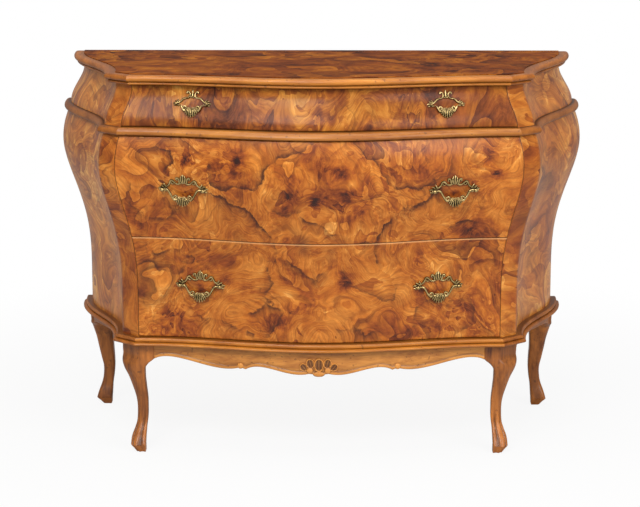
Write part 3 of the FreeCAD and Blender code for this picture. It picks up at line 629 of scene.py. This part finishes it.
def drawer_front(name, material):
    low, high = DRAWERS[name][:2]
    shape = Shape()
    ends = (0.0, 0.0004, 0.001, 0.002)
    across = list(ends) + spread(0.004, 0.996, 130) + [1 - t for t in reversed(ends)]
    rows, inner = [], []
    for z in edged(low, high, max(12, int((high - low) / 6))):
        half = corners(z)[0].x - FRONT_GAP
        fall = rounding(min(z - low, high - z), EDGE_RADIUS)
        row = [bezier(front_poles(z, 0.0, half), t) for t in across]
        rows.append([p + vec(0, max(fall, rounding(half - abs(p.x), EDGE_RADIUS)), 0)
                     for p in row])
        back = front_poles(z, -FRONT_THICKNESS, half)
        inner.append([bezier(back, t) for t in across])
    shape.shell(rows, inner, 1)
    piece = shape.build(name + "_front_veneered", [material, DRAWER_WOOD], name + "_drawer",
                        "burl_veneer", name + "_drawer_front")
    figure(piece, low, high)


drawer_front("bottom", BURL_FRONT)
drawer_front("middle", BURL_FRONT)
drawer_front("top", BURL_TOP_DRAWER)

# ---- case
BACK_RADIUS = 1.5
HEIGHTS = (spread(LEG_HEIGHT, BASE_TOP, 2) + spread(BASE_TOP, BELLY, 56)[1:]
           + spread(BELLY, WAIST, 12)[1:] + spread(WAIST_TOP, CASE_TOP, 16))


def side_start(z):
    poles = side_poles(z)
    return solve(poles, 1, poles[0].y + ARRIS)


def post_line(z):
    corner, cant, _ = corners(z)
    poles = side_poles(z)
    end = bezier(poles, side_start(z))
    run = (cant - corner).normalized()
    start = cant - run * ARRIS
    line = [corner - CANT_NORMAL * 0.7, corner + run * 0.5 - CANT_NORMAL * 0.15,
            corner + run * 1.4]
    line += [corner + (start - corner) * t for t in spread(0.1, 1.0, 6)]
    line += [bezier([start, cant, end], t) for t in spread(0.0, 1.0, 10)[1:]]
    return line


def corner_posts():
    shape = Shape()
    rows, inner = [], []
    for z in HEIGHTS:
        line = post_line(z)
        start = side_poles(z, -SIDE_THICKNESS)[0]
        back = start.y + POST_BACK
        rows.append(line)
        inner.append([line[0], vec(line[0].x, back, z), vec(start.x, back, z),
                      vec(start.x, line[-1].y, z), line[-1]])
    shape.grid(rows)
    shape.grid(inner, 1)
    for row, behind in ((rows[0], inner[0]), (rows[-1], inner[-1])):
        shape.fan(row + behind[::-1][1:-1], 1)
    pair(shape, "stile", [STILE, POST_WOOD], "burl_veneer", "corner_post")


def side_panels():
    shape = Shape()
    rows, inner = [], []
    for z in HEIGHTS:
        poles, back = side_poles(z), side_poles(z, -SIDE_THICKNESS)
        ts = spread(side_start(z), 0.994, 40) + [0.9975, 0.9992, 1.0]
        row = [bezier(poles, t) for t in ts]
        rows.append([p - SIDE_NORMAL * rounding(BACK_Y - p.y, BACK_RADIUS) for p in row])
        inner.append([bezier(back, t) for t in ts])
    shape.shell(rows, inner, 1)
    pair(shape, "side_veneered", [BURL_SIDE, POST_WOOD], "burl_veneer", "side_panel")


corner_posts()
side_panels()


# ---- mouldings
def half_round(low, high, foot, nose, count, sill=0.85, brow=0.85):
    """Heights, how proud each is, and its painted shade: in the creases at the two edges, set by
    sill and brow, and on the underside of the round.
    """
    turns = [pi * step / count for step in range(count + 1)]
    return [(low + (high - low) * (1 - cos(turn)) / 2,
             foot + (nose - foot) * sin(turn) ** 0.9,
             (sill if turn < pi / 2 else brow) * (1 - sin(turn)) ** 2
             + 0.25 * max(0.0, cos(turn)) ** 2)
            for turn in turns]


def strip(shape, curve, ts, profile):
    lines = [[bezier(curve(z, proud), t) for t in ts] for z, proud, _ in profile]
    back = [[bezier(curve(profile[i][0], -1.0), t) for t in ts] for i in (-1, 0)]
    marks = [mark for _, _, mark in profile] + [0.5, 0.6, profile[0][2]]
    shape.grid(lines + back + lines[:1], marks=[[mark] * len(ts) for mark in marks])


def cant_poles(z, proud=0.0):
    return list(corners(z, proud)[:2])


def mouldings(name, profile):
    front, side = Shape(), Shape()
    strip(front, front_poles, spread(0, 1, 110), profile)
    strip(side, cant_poles, (0.0, 0.5, 1.0), profile)
    strip(side, side_poles, spread(0, 1, 44), profile)
    end = [side_poles(z, proud)[-1] for z, proud, _ in profile]
    end += [side_poles(profile[i][0], 0.0)[-1] for i in (-1, 0)]
    side.fan(end)
    front.build(name + "_run_front", [MOULDING], "carcass", "walnut", name + "_front")
    pair(side, name + "_run", [MOULDING_SIDE], "walnut", name)


mouldings("top_moulding", half_round(827, 834.7, 9, 16, 10, 0.85, 0.4)
          + half_round(834.7, 848.5, 14, 23, 16, 0.4, 0.1))
# The marks are raised all over here, which darkens the whole waist moulding a little.
mouldings("waist_moulding", [(z, proud, mark + 0.19) for z, proud, mark in
                             half_round(WAIST, WAIST_TOP, 3, 13, 18)])
mouldings("base_moulding", half_round(LEG_HEIGHT, 252, 13, 21, 12, 0.85, 0.1)
          + half_round(252, BASE_TOP, 10, 14.5, 12, 0.1, 0.7))

# ---- legs
# Share of the height, shift out, shift forward, half width, cut of the outer corner.
FRONT_STATIONS = [
    (1, 0, 0, 36.5, 38), (0.93, 0, 0, 36.5, 38), (0.87, 0, 0, 36.5, 38),
    (0.82, 7, 8, 30.5, 30), (0.77, 9, 12.5, 24.5, 21), (0.69, 4.5, 14, 19, 15),
    (0.59, -1, 13, 15.5, 11), (0.48, -6.5, 13, 13, 9), (0.38, -8, 14, 12, 8.5),
    (0.27, -7, 19, 12, 8.5), (0.20, -3.5, 26, 13.5, 9), (0.135, 0, 35, 16, 10),
    (0.07, 1.2, 43, 16.5, 10)]
FRONT_SOLE = (0, -5.5, 42, 10.5, 6)
REAR_STATIONS = [
    (1, 0, 0, 36.5, 10), (0.93, 0, 0, 36.5, 10), (0.87, 0, 0, 36.5, 10),
    (0.82, 8.5, -9, 27, 10), (0.77, 9, -12.5, 23.5, 9), (0.69, 7.5, -16, 20, 8),
    (0.59, 5.5, -18.5, 17.5, 7), (0.48, 2, -20.5, 15.5, 6), (0.38, -0.5, -23, 13.2, 5),
    (0.27, 1.5, -23.5, 12.6, 5), (0.20, 5, -22.5, 13.5, 5), (0.135, 8.5, -20, 16, 4.5),
    (0.07, 11.5, -18, 17.5, 4)]
REAR_SOLE = (0, 4.5, -20, 10, 3)


def station(stations, share):
    """Values between the stations, on a smooth curve through them."""
    last = len(stations) - 2
    i = next((k for k in range(last + 1) if stations[k + 1][0] <= share), last)
    before, a, b, after = (stations[min(last + 1, max(0, k))] for k in range(i - 1, i + 3))
    gap = b[0] - a[0]
    t = (share - a[0]) / gap
    h00, h10 = 2 * t ** 3 - 3 * t ** 2 + 1, t ** 3 - 2 * t ** 2 + t
    h01, h11 = -2 * t ** 3 + 3 * t ** 2, t ** 3 - t ** 2
    values = []
    for k in range(1, 5):
        def slope(p, q):
            return (q[k] - p[k]) / (q[0] - p[0]) if q[0] != p[0] else 0.0
        back, here, ahead = slope(before, a), slope(a, b), slope(b, after)
        m0 = (back + here) / 2 if i else here
        m1 = (ahead + here) / 2 if i < last else here
        if k >= 3:      # the widths turn only at a station
            m0 = 0.0 if back * here <= 0 else m0
            m1 = 0.0 if ahead * here <= 0 else m1
        values.append(h00 * a[k] + h10 * gap * m0 + h01 * b[k] + h11 * gap * m1)
    return values


def rounded_ring(points, radius, flute):
    """A rounded outline; the first edge and the second carry a flute."""
    arcs, ring = [], []
    count = len(points)
    for i, point in enumerate(points):
        before, after = points[i - 1] - point, points[(i + 1) % count] - point
        reach = min(radius, before.length * 0.45, after.length * 0.45)
        arcs.append([bezier([point + before.normalized() * reach, point,
                             point + after.normalized() * reach], t) for t in spread(0, 1, 4)])
    for i, arc in enumerate(arcs):
        end, run = arc[-1], arcs[(i + 1) % count][0] - arc[-1]
        depth = run.cross(UP).normalized() * (flute if i < 2 else 0.0)
        ring += arc + [end + run * t - depth * sin(pi * t) ** 2
                       for t in (0.2, 0.35, 0.5, 0.65, 0.8)]
    return ring


def leg(centre, stations, sole, front):
    def ring(share, out, forward, half, cant, radius, flute):
        x, y, z = centre.x + out, centre.y - forward, share * LEG_HEIGHT
        depth = cant * CANT_DEPTH / CANT_WIDTH
        outline = [(x - half, y - half), (x + half - cant, y - half),
                   (x + half, y - half + depth), (x + half, y + half), (x - half, y + half)]
        return rounded_ring([vec(a, min(b, BACK_Y), z) for a, b in outline], radius, flute)

    rows = []
    shares = spread(1.0, 0.87, 5) + spread(0.87, 0.07, 72)[1:]
    for share in shares:
        values = station(stations, share)
        ease = smooth((0.90 - share) / 0.12)
        radius = 2.0 + (values[2] * 0.34 - 2.0) * ease * smooth((share - 0.05) / 0.1 + 0.25)
        flute = 2.2 * smooth((0.50 - share) / 0.2) if front else 0.0
        rows.append(ring(share, *values, radius, flute))
    last = station(stations, 0.07)
    for share, t in ((0.062, 0.1), (0.035, 0.55), (0.006, 0.95), (0.0, 1.0)):
        values = [a + (b - a) * t for a, b in zip(last, sole[1:])]
        if share == 0.0:
            values[2] -= 0.7
        rows.append(ring(share, *values, 1.2, 2.6 if front else 0.0))
    # painted highlights on the corners, painted shade in the flutes between them, and a painted
    # highlight on the toes, where they turn under
    hollow = [0.0 if k > 19 else -0.3 if k % 10 < 5 else
              0.65 * sin(pi * (k % 10 - 4) / 6) for k in range(50)]
    low = [smooth((0.42 - share) / 0.2) if front else 0.0 for share in shares]
    shape = Shape()
    shape.solid(rows, [[m * fade for m in hollow] for fade in low] + [[-0.4] * len(hollow)] * 4)
    return shape


def legs():
    _, cant, back = corners(LEG_HEIGHT)
    half = LEG_BLOCK / 2
    front = leg(vec(cant.x - half, CORNER_Y + half, 0), FRONT_STATIONS, FRONT_SOLE, True)
    pair(front, "cabriole_front", [LEG_WOOD], "walnut", "leg_front")
    rear = leg(vec(back.x - half, BACK_Y - half, 0), REAR_STATIONS, REAR_SOLE, False)
    pair(rear, "cabriole_rear", [LEG_WOOD], "walnut", "leg_rear")


legs()

# ---- aprons
APRON_HALF = corners(LEG_HEIGHT)[1].x - LEG_BLOCK
# Poles of the lower edge: share of the half length and drop.
OUTER_WAVE = ((1, 32.6), (0.88, 8), (0.64, 64), (0.474, 43))
INNER_WAVE = ((0.441, 46.5), (0.34, 23), (0.19, 64), (0.06, 51))
BEAD = (LEG_HEIGHT - 38.5, 7, 4)    # between the waves: height, radius, how proud


def apron_edge():
    """Points along the right half of the lower edge, from the middle out: x and drop."""
    def curve(poles, count):
        vectors = [vec(share * APRON_HALF, drop, 0) for share, drop in reversed(poles)]
        return [bezier(vectors, t) for t in spread(0, 1, count)]
    middle = [vec(13 * sin(a), 52 + 4.5 * cos(a), 0) for a in spread(0, pi / 2, 6)]
    return middle + curve(INNER_WAVE, 26) + curve(OUTER_WAVE, 30)


def apron_y(x, proud=0.0):
    poles = front_poles(LEG_HEIGHT, proud)
    return bezier(poles, solve(poles, 0, x)).y


def front_apron():
    right = apron_edge()
    line = [vec(-p.x, p.y, 0) for p in reversed(right)] + right[1:]
    # the rounded rim along the edge: steps up from it, lift off the face, and marks, which paint
    # shade at the lower edge and at the inner foot of the rim, a highlight on its crown, and shade
    # under the base moulding
    steps = (0.0, 0.5, 1.4, 2.8, 4.6, 6.4, 7.4, 8.0, 8.6)
    lift = (-1.2, 0.1, 0.9, 1.5, 1.6, 1.2, 0.7, 0.25, 0.0)
    sunk = (0.5, 0.0, -0.3, -0.4, -0.2, 0.1, 0.4, 0.65, 0.4, 0.2)
    faces, backs = [], []
    for p in line:
        base, behind = apron_y(p.x), apron_y(p.x, -APRON_THICKNESS)
        column = [vec(p.x, base - up, LEG_HEIGHT - p.y + d) for d, up in zip(steps, lift)]
        column += [vec(p.x, base, LEG_HEIGHT - (p.y - steps[-1]) * (1 - t))
                   for t in spread(0, 1, 10)[1:]]
        faces.append(column)
        backs.append([vec(p.x, behind, q.z) for q in column])
    shape = Shape()
    marks = list(sunk) + [0.0] * (len(faces[0]) - len(sunk) - 2) + [0.25, 0.8]
    shape.shell(faces, backs, marks=[marks] * len(faces))
    for side in (-1, 1):
        bead(shape, side * OUTER_WAVE[-1][0] * APRON_HALF, *BEAD)
    palmette(shape)
    shape.build("apron_carved", [APRON_WOOD], "carcass", "walnut", "apron_front",
                angle=CARVED_ANGLE)


def bead(shape, x, z, radius, height):
    rows, marks = [], []
    for turn in spread(-0.25, 1.0, 7):
        a = turn * pi / 2
        # painted shade around the foot of the bead and a painted highlight over its top
        marks.append([0.9 if turn < 0.1 else -0.7 * smooth(turn * 2)] * 28)
        r, h = radius * cos(max(a, 0.0)), height * sin(a)
        rows.append([vec(x + r * cos(b), apron_y(x + r * cos(b)) - h, z + r * sin(b))
                     for b in circle(28)])
    shape.grid(rows, around=True, marks=marks)


SHELL_LOW, SHELL_HIGH, SHELL_REACH = 187, 232, 46
# Lobes of the shell: x, height, turn in degrees, half width, half length, rise.
LOBES = ((0, 213.5, 0, 11.4, 16.5, 4.6), (19, 216.5, 14, 9.6, 12.5, 3.8),
         (33.5, 208, 40, 9, 10.5, 3.1))


def palmette_height(x, z):
    """Height of the carved shell above the apron, and its painted shading there: shade in the
    dishes and at the feet, highlights on rims, ridge and domes.
    """
    x = abs(x)
    best, sunk = 0.0, 1.0
    for cx, cz, turn, wide, long, high in LOBES:
        a = radians(turn)
        dx, dz = x - cx, z - cz
        across = (dx * cos(a) - dz * sin(a)) / wide
        up = (dx * sin(a) + dz * cos(a)) / long
        narrow = 1.0 if up > 0 else 1 - 0.35 * up * up
        r = hypot(across / narrow, up)
        if r < 1.0:
            rim = high * min(1.0, (1 - r) / 0.10)
            dark = 1 - 1.9 * min(1.0, (1 - r) / 0.08)
            if r < 0.82:
                dish = smooth((0.82 - r) / 0.12)
                rib = 0.45 * (1 + cos(across * 2 * pi * 1.6))
                rim = high - (high * 0.62 - rib) * dish
                dark += dish * (2.15 - 0.5 * rib)
            if rim > best:
                best, sunk = rim, dark
    for dome, base, tall in ((hypot(x - 19.9, z - 201.4) / 7.6, 2.4, 3.6),
                             (hypot(x / 13.0, (z - 193.0) / 6.5), 0.0, 4.4)):
        if dome < 1 and base + tall * sqrt(1 - dome * dome) > best:
            best = base + tall * sqrt(1 - dome * dome)
            sunk = 1.5 * smooth((dome - 0.75) / 0.25) - 0.5
    ridge = 1 - abs(z - 198.5 - 0.55 * x) / 1.6
    if x < 9.0 and ridge > 0 and 3.4 + ridge > best:
        best, sunk = 3.4 + ridge, 0.8 - 1.7 * ridge
    return best, sunk


def palmette(shape):
    rows, marks, carved = [], [], []
    for z in spread(SHELL_LOW, SHELL_HIGH, 90):
        spots = [(x, *palmette_height(x, z)) for x in spread(-SHELL_REACH, SHELL_REACH, 160)]
        rows.append([vec(x, apron_y(abs(x)) + 0.5 - height, z) for x, height, _ in spots])
        marks.append([0.72 * sunk for _, _, sunk in spots])
        carved.append([height > 0 for _, height, _ in spots])
    shape.grid(rows, marks=marks, keep=carved)


def side_aprons():
    front, back = CORNER_Y + LEG_BLOCK, BACK_Y - LEG_BLOCK
    poles = [vec(0, y, drop) for y, drop in
             ((front, 32), (front + 45, 12), (back - 45, 12), (back, 32))]
    face, behind = side_poles(LEG_HEIGHT), side_poles(LEG_HEIGHT, -APRON_THICKNESS)
    faces, backs = [], []
    for t in spread(0, 1, 40):
        p = bezier(poles, t)
        x = bezier(face, solve(face, 1, p.y)).x
        x2 = bezier(behind, solve(behind, 1, p.y)).x
        column = [vec(x - give, p.y, LEG_HEIGHT - p.z + d)
                  for d, give in ((0.0, 1.2), (0.4, 0.5), (1.2, 0.1), (2.2, 0.0))]
        column += [vec(x, p.y, LEG_HEIGHT - (p.z - 2.2) * (1 - s)) for s in (0.5, 1.0)]
        faces.append(column)
        backs.append([vec(x2, p.y, q.z) for q in column])
    shape = Shape()
    shape.shell(faces, backs)
    pair(shape, "side_apron", [MOULDING_SIDE], "walnut", "apron")


front_apron()
side_aprons()


# ---- handles
# Height over the pivots, the part that lies on the face, and where the pins are.
PLATE_RISE, PLATE_DEPTH, PIN_OUT = 33.5, 4.5, 9.0

# Rods of the cast pieces: how flat, then points: across, up, out, radius. First the top drawer's
# plate: a bud on the middle with a scroll beside it, and an arm down to the post.
BUD_RODS = (
    (0.9, (0, 18, 2, 2), (0, 24, 3.2, 3.8), (0, 31, 3.4, 2.8), (0, 38, 2.8, 3.2),
     (0, 43, 1.6, 1.2)),
    (0.9, (0, 20, 1.8, 2.6), (5, 21, 1.9, 2.3), (9, 22, 2, 2)),
    (0.9, (17, 31.4, 2.4, 3.6), (15, 35.6, 2.6, 3.2), (10.6, 34.6, 2.6, 2.8), (7.4, 29, 2.5, 2.7),
     (9, 22.4, 2.3, 2.8), (15, 17.6, 2.2, 3), (22, 17.8, 2.3, 1.8)),
    (0.9, (19.5, 16.4, 2.3, 1.8), (24.5, 16, 2.5, 3.2), (29.5, 12, 2.5, 2.9), (34, 7, 2.4, 2.8),
     (39, 4, 2.5, 3), (45, 1.6, 3, 3.4)))
# The other plates: a fluted leaf at the middle, a volute, and an arm that dips, curls over its
# shoulder and runs down to the post.
LEAF_RODS = (
    (0.9, (0, 13, 2.2, 1.4), (0, 21, 3.4, 2.4), (0, 28, 3, 2.2), (0, 34, 1.6, 0.5)),
    (0.9, (2.4, 13.6, 1.7, 1.5), (4.6, 20, 2.6, 2.3), (5, 26, 2.4, 2.1), (2.6, 31.5, 1.4, 0.5)),
    (0.9, (5.4, 13, 1.6, 1.8), (8.2, 15.8, 2.4, 2.5), (8.9, 20.6, 2.6, 2.5), (10.8, 25, 2.6, 2.3),
     (14.4, 25.4, 2.6, 2.1), (15.2, 22, 2.6, 1.8), (12.9, 20.6, 2.4, 1)),
    (0.9, (6, 13.4, 1.7, 1.8), (10, 12.2, 2, 2.2), (15, 12.4, 2.2, 2), (19, 15.6, 2.5, 2.1),
     (24.4, 19.8, 2.7, 2.6), (28.2, 18.4, 2.6, 2.4), (30.8, 12.4, 2.4, 2.2), (35, 7.6, 2.4, 2.3),
     (40, 4.4, 2.6, 2.8), (45, 1.6, 3, 3.2)),
    (0.85, (26.6, 15.4, 2, 1.7), (25.4, 12.4, 2.1, 1.5), (22.4, 11.8, 2.1, 1.3),
     (21, 14, 2, 0.7)))
POST_RODS = (
    (0.85, (38, 6, 2.2, 2), (41, 9.6, 3, 2.1), (43.4, 13.6, 2.2, 0.5)),
    (0.85, (42, 4.5, 2.6, 2.4), (46.4, 7.6, 3, 2.1), (50.4, 9, 2, 0.5)),
    (0.85, (45, 1, 2.6, 3), (50.6, 2.8, 2.4, 2.6), (56.4, 1.6, 1.2, 0.8)),
    (0.85, (45, -1.4, 2.4, 2.6), (50, -4.2, 2.2, 2), (54, -3.2, 1.2, 0.6)),
    (0.85, (44, -1.6, 2.4, 2.4), (39.6, -4.4, 2.4, 1.8), (35.6, -3, 1.6, 0.5)))
# Half a hanging bail, from the pivots' plane: its rod, and the volute at the shell's shoulder.
BAIL_RODS = (
    (1, (51.6, 0, 0, 2.2), (46, 0, 0, 2.2), (41, 0.2, 0, 2.2), (36.8, 0.2, 0.2, 2.7),
     (33, -1.6, 0.4, 2.8), (29.8, -6.2, 0.4, 2.5), (26.5, -12, 0.4, 2.3), (23, -17.4, 0.4, 2.6),
     (19.4, -21, 0.2, 3), (14, -22.5, 0, 2.6)),
    (0.9, (17.6, -24, 0.8, 1.8), (20.6, -20, 1.2, 2.3), (19.8, -15, 1.4, 2.4),
     (15.2, -13.2, 1.5, 2.3), (12.2, -16.4, 1.5, 2), (14.2, -19.4, 1.4, 1.7),
     (16.4, -17.6, 1.3, 1.1)))


def tube(shape, path, flat, sides=10, smoothness=6):
    """A rod through points (across, up, out, radius), flattened outwards by a factor."""
    points, sizes = [], []
    spots, radii = [Vector(p[:3]) for p in path], [p[3] for p in path]
    count = len(path)
    for i in range(count - 1):
        p0, p1, p2, p3 = (spots[min(count - 1, max(0, k))] for k in range(i - 1, i + 3))
        for step in range(smoothness + (i == count - 2)):
            t = step / smoothness
            points.append(0.5 * (2 * p1 + (p2 - p0) * t + (2 * p0 - 5 * p1 + 4 * p2 - p3) * t ** 2
                                 + (3 * p1 - p0 - 3 * p2 + p3) * t ** 3))
            sizes.append(radii[i] + (radii[i + 1] - radii[i]) * t)
    rows = []
    for i, (point, size) in enumerate(zip(points, sizes)):
        run = (points[min(len(points) - 1, i + 1)] - points[max(0, i - 1)]).normalized()
        side = run.cross(UP)
        side = side.normalized() if side.length > 1e-3 else vec(1, 0, 0)
        lift = side.cross(run).normalized()
        rows.append([point + side * (size * cos(a)) + lift * (size * flat * sin(a))
                     for a in circle(sides)])
    # painted shading: the outward face of each rod is left pale, its flanks and underside are
    # painted dark
    marks = [1 - smooth((sin(a) - 0.4) / 0.45) for a in circle(sides)]
    shape.solid(rows, [marks] * len(rows))


def knob(shape, centre, radii, sides):
    rows, marks = [], []
    for a in spread(-pi / 2, pi / 2, 8):
        # painted shading: the knob is painted dark toward the face and pale on its crown
        marks.append([1 - max(0.0, sin(a)) ** 0.8] * sides)
        rows.append([Vector(centre) + vec(radii[0] * cos(a) * cos(b),
                                          radii[1] * cos(a) * sin(b), radii[2] * sin(a))
                     for b in circle(sides)])
    shape.grid(rows, around=True, marks=marks)


def cast(rods):
    s = Shape()
    for flat, *path in rods:
        tube(s, path, flat)
    return s


def half_plate(crowned):
    """Right half of a back plate: across, up, out from the drawer's face."""
    s = cast((BUD_RODS if crowned else LEAF_RODS) + POST_RODS)
    # post that carries the bail's pin
    tube(s, [(46, 0, -1, 4.6), (46.01, 0, 5.5, 4.2)], 1, 18, 1)
    knob(s, (46, 0, 9.2), (4.7, 4.7, 4.6), 18)
    return s


def bail_shell():
    """The scalloped grip: ribs that fan out from its hinge."""
    s = Shape()
    ribs = 7
    for k in range(ribs):
        a = radians(-56 + 112 * k / (ribs - 1))
        dx, dz = sin(a), -cos(a)
        reach = 17.5 - 3.2 * abs(sin(a)) ** 1.5
        start = vec(dx * 9.0, -15.5, 0.6)
        end = vec(dx * (reach + 1.5), -18.5 + dz * reach, 0.4)
        middle = (start + end) / 2 + vec(0, 0, 2.4)
        tube(s, [(*start, 0.9), (*middle, 1.5), (*end, 1.8)], 1.3, 10, 7)
        knob(s, end, (1.8, 1.8, 2.2), 10)
    rows = []
    for out, r in ((-2.4, 0.86), (-1.2, 1.0), (0.6, 0.86)):
        rows.append([vec(15.0 * r * sin(a), -19.0 - 15.0 * r * cos(a), out)
                     for a in spread(-pi * 0.42, pi * 0.42, 20)]
                    + [vec(0, -18.0 - (1 - r), out)])
    # the plate under the ribs is painted dark, as shade between them
    s.solid(rows, [[1.0] * len(rows[0])] * 3)
    return s


def raised(p):
    """The bail of the top drawer: its shell is larger and starts close to the pivots."""
    wide = 1 + 0.2 * min(1.0, max(0.0, (40 - abs(p.x)) / 20))
    return vec(p.x * wide, 0.25 * p.y if p.y > -12 else -3 + 1.375 * (p.y + 12), p.z)


def handles():
    swing = cast(BAIL_RODS)
    swing.add(swing.mirror())
    swing.add(bail_shell())
    for name, (_, _, pivot, handle_x, size, tilt) in DRAWERS.items():
        crowned = name == "top"
        plate = half_plate(crowned)
        plate.add(plate.mirror())
        surface, along = face_point(handle_x, pivot)
        out = vec(along.y, -along.x, 0)
        rise = PLATE_RISE * size
        above = face_point(handle_x, pivot + rise)[0]
        lean = atan2((above - surface).dot(out), rise)

        def frame_of(origin, angle):
            upward = UP * cos(angle) + out * sin(angle)
            outward = out * cos(angle) - UP * sin(angle)
            return lambda p: origin + (along * p.x + upward * p.y + outward * p.z) * size

        seat = frame_of(surface, lean)

        def bedded(p):
            """On the plate, follows the drawer's face instead of a flat plane."""
            spot = seat(p)
            sink = (face_point(spot.x, spot.z)[0] - seat(vec(p.x, p.y, 0))).dot(out)
            return spot + out * (sink if p.z < PLATE_DEPTH else 0.0)

        plates = Shape()
        plates.add(plate, bedded)
        plates.add(plates.mirror())
        plates.build(name + "_plates_cast", [BRASS], name + "_drawer", "brass",
                     name + "_handle_plates", angle=BRASS_ANGLE)
        hang = frame_of(surface + out * (PIN_OUT * size), -radians(tilt))
        bail = Shape()
        bail.add(swing, (lambda p: hang(raised(p))) if crowned else hang)
        for side, half in (("_right", bail), ("_left", bail.mirror())):
            half.build(name + "_bail_cast" + side, [BRASS], name + "_bail" + side, "brass",
                       name + "_bail" + side, angle=BRASS_ANGLE)


handles()

# ---- carried-over solids
FINISH = {"top_panel": BURL_TOP, "back_panel": POST_WOOD, "bottom_rail": MOULDING,
          "waist_rail": MOULDING}
for name, node in frame["nodes"].items():
    material = FINISH.get(name, DRAWER_WOOD)
    if "drawer_side" in name or "runners" in name:
        material = DRAWER_SIDE_WOOD
    elif "rear_post" in name:
        material = POST_WOOD
    node.data.materials.clear()
    node.data.materials.append(material)


# ---- floor, lights, camera
FLOOR_REACH = 6     # metres


def floor():
    g = material_graph("studio_floor")
    diffuse = g.node("BsdfDiffuse", {"Color": (0.58, 0.58, 0.58)})
    white = g.node("Emission", {"Color": (1, 1, 1), "Strength": 1.0})
    away = g.node("VectorMath", {0: g.place()}, output="Value", operation="LENGTH")
    share = g.times(g.node("LightPath", {}), g.step(away, 0.7, 1.8, 0.90, 1))
    g.put(g.out.inputs[0], g.node("MixShader", {0: share, 1: diffuse, 2: white}))
    mesh = bpy.data.meshes.new("floor")
    mesh.from_pydata([(x * FLOOR_REACH, y * FLOOR_REACH, 0)
                      for x, y in ((-1, -1), (1, -1), (1, 1), (-1, 1))], [], [(0, 1, 2, 3)])
    mesh.materials.append(g.owner)
    added("floor", mesh)


def world():
    """Soft warm light all round, and plain white where the camera sees past the floor."""
    scene.world = bpy.data.worlds.new("studio")
    g = Graph(scene.world, "World")
    soft = g.node("Background", {0: (1, 0.97, 0.93), 1: 0.45})
    white = g.node("Background", {0: (1, 1, 1), 1: 1.0})
    g.put(g.out.inputs[0],
          g.node("MixShader", {0: g.node("LightPath", {}), 1: soft, 2: white}))


def lamp(name, place, target, size, watts):
    light = bpy.data.lights.new(name, "AREA")
    light.shape, light.size, light.size_y = "RECTANGLE", *size
    light.energy = watts
    item = added(name, light)
    item.location = place
    item.rotation_euler = (Vector(target) - Vector(place)).to_track_quat("-Z", "Y").to_euler()


def camera():
    lens = bpy.data.cameras.new("camera")
    lens.lens, lens.sensor_width = 131.5, 36.0
    view = added("camera", lens)
    turn = radians(0.7)
    distance, height, pitch = 5.1765, 1.535, radians(12.15)
    view.location = (distance * sin(turn), -distance * cos(turn), height)
    view.rotation_euler = (pi / 2 - pitch, 0, turn)
    scene.camera = view


floor()
world()
lamp("key", (-0.9, -3.2, 3.2), (0, 0, 0.5), (2.2, 1.4), 125)
lamp("fill", (2.4, -2.8, 2.2), (0, 0, 0.5), (2.2, 1.6), 82)
lamp("top", (0, -0.4, 3.4), (0, 0, 0.6), (2.4, 1.6), 45)
camera()
scene.view_settings.view_transform = "Standard"
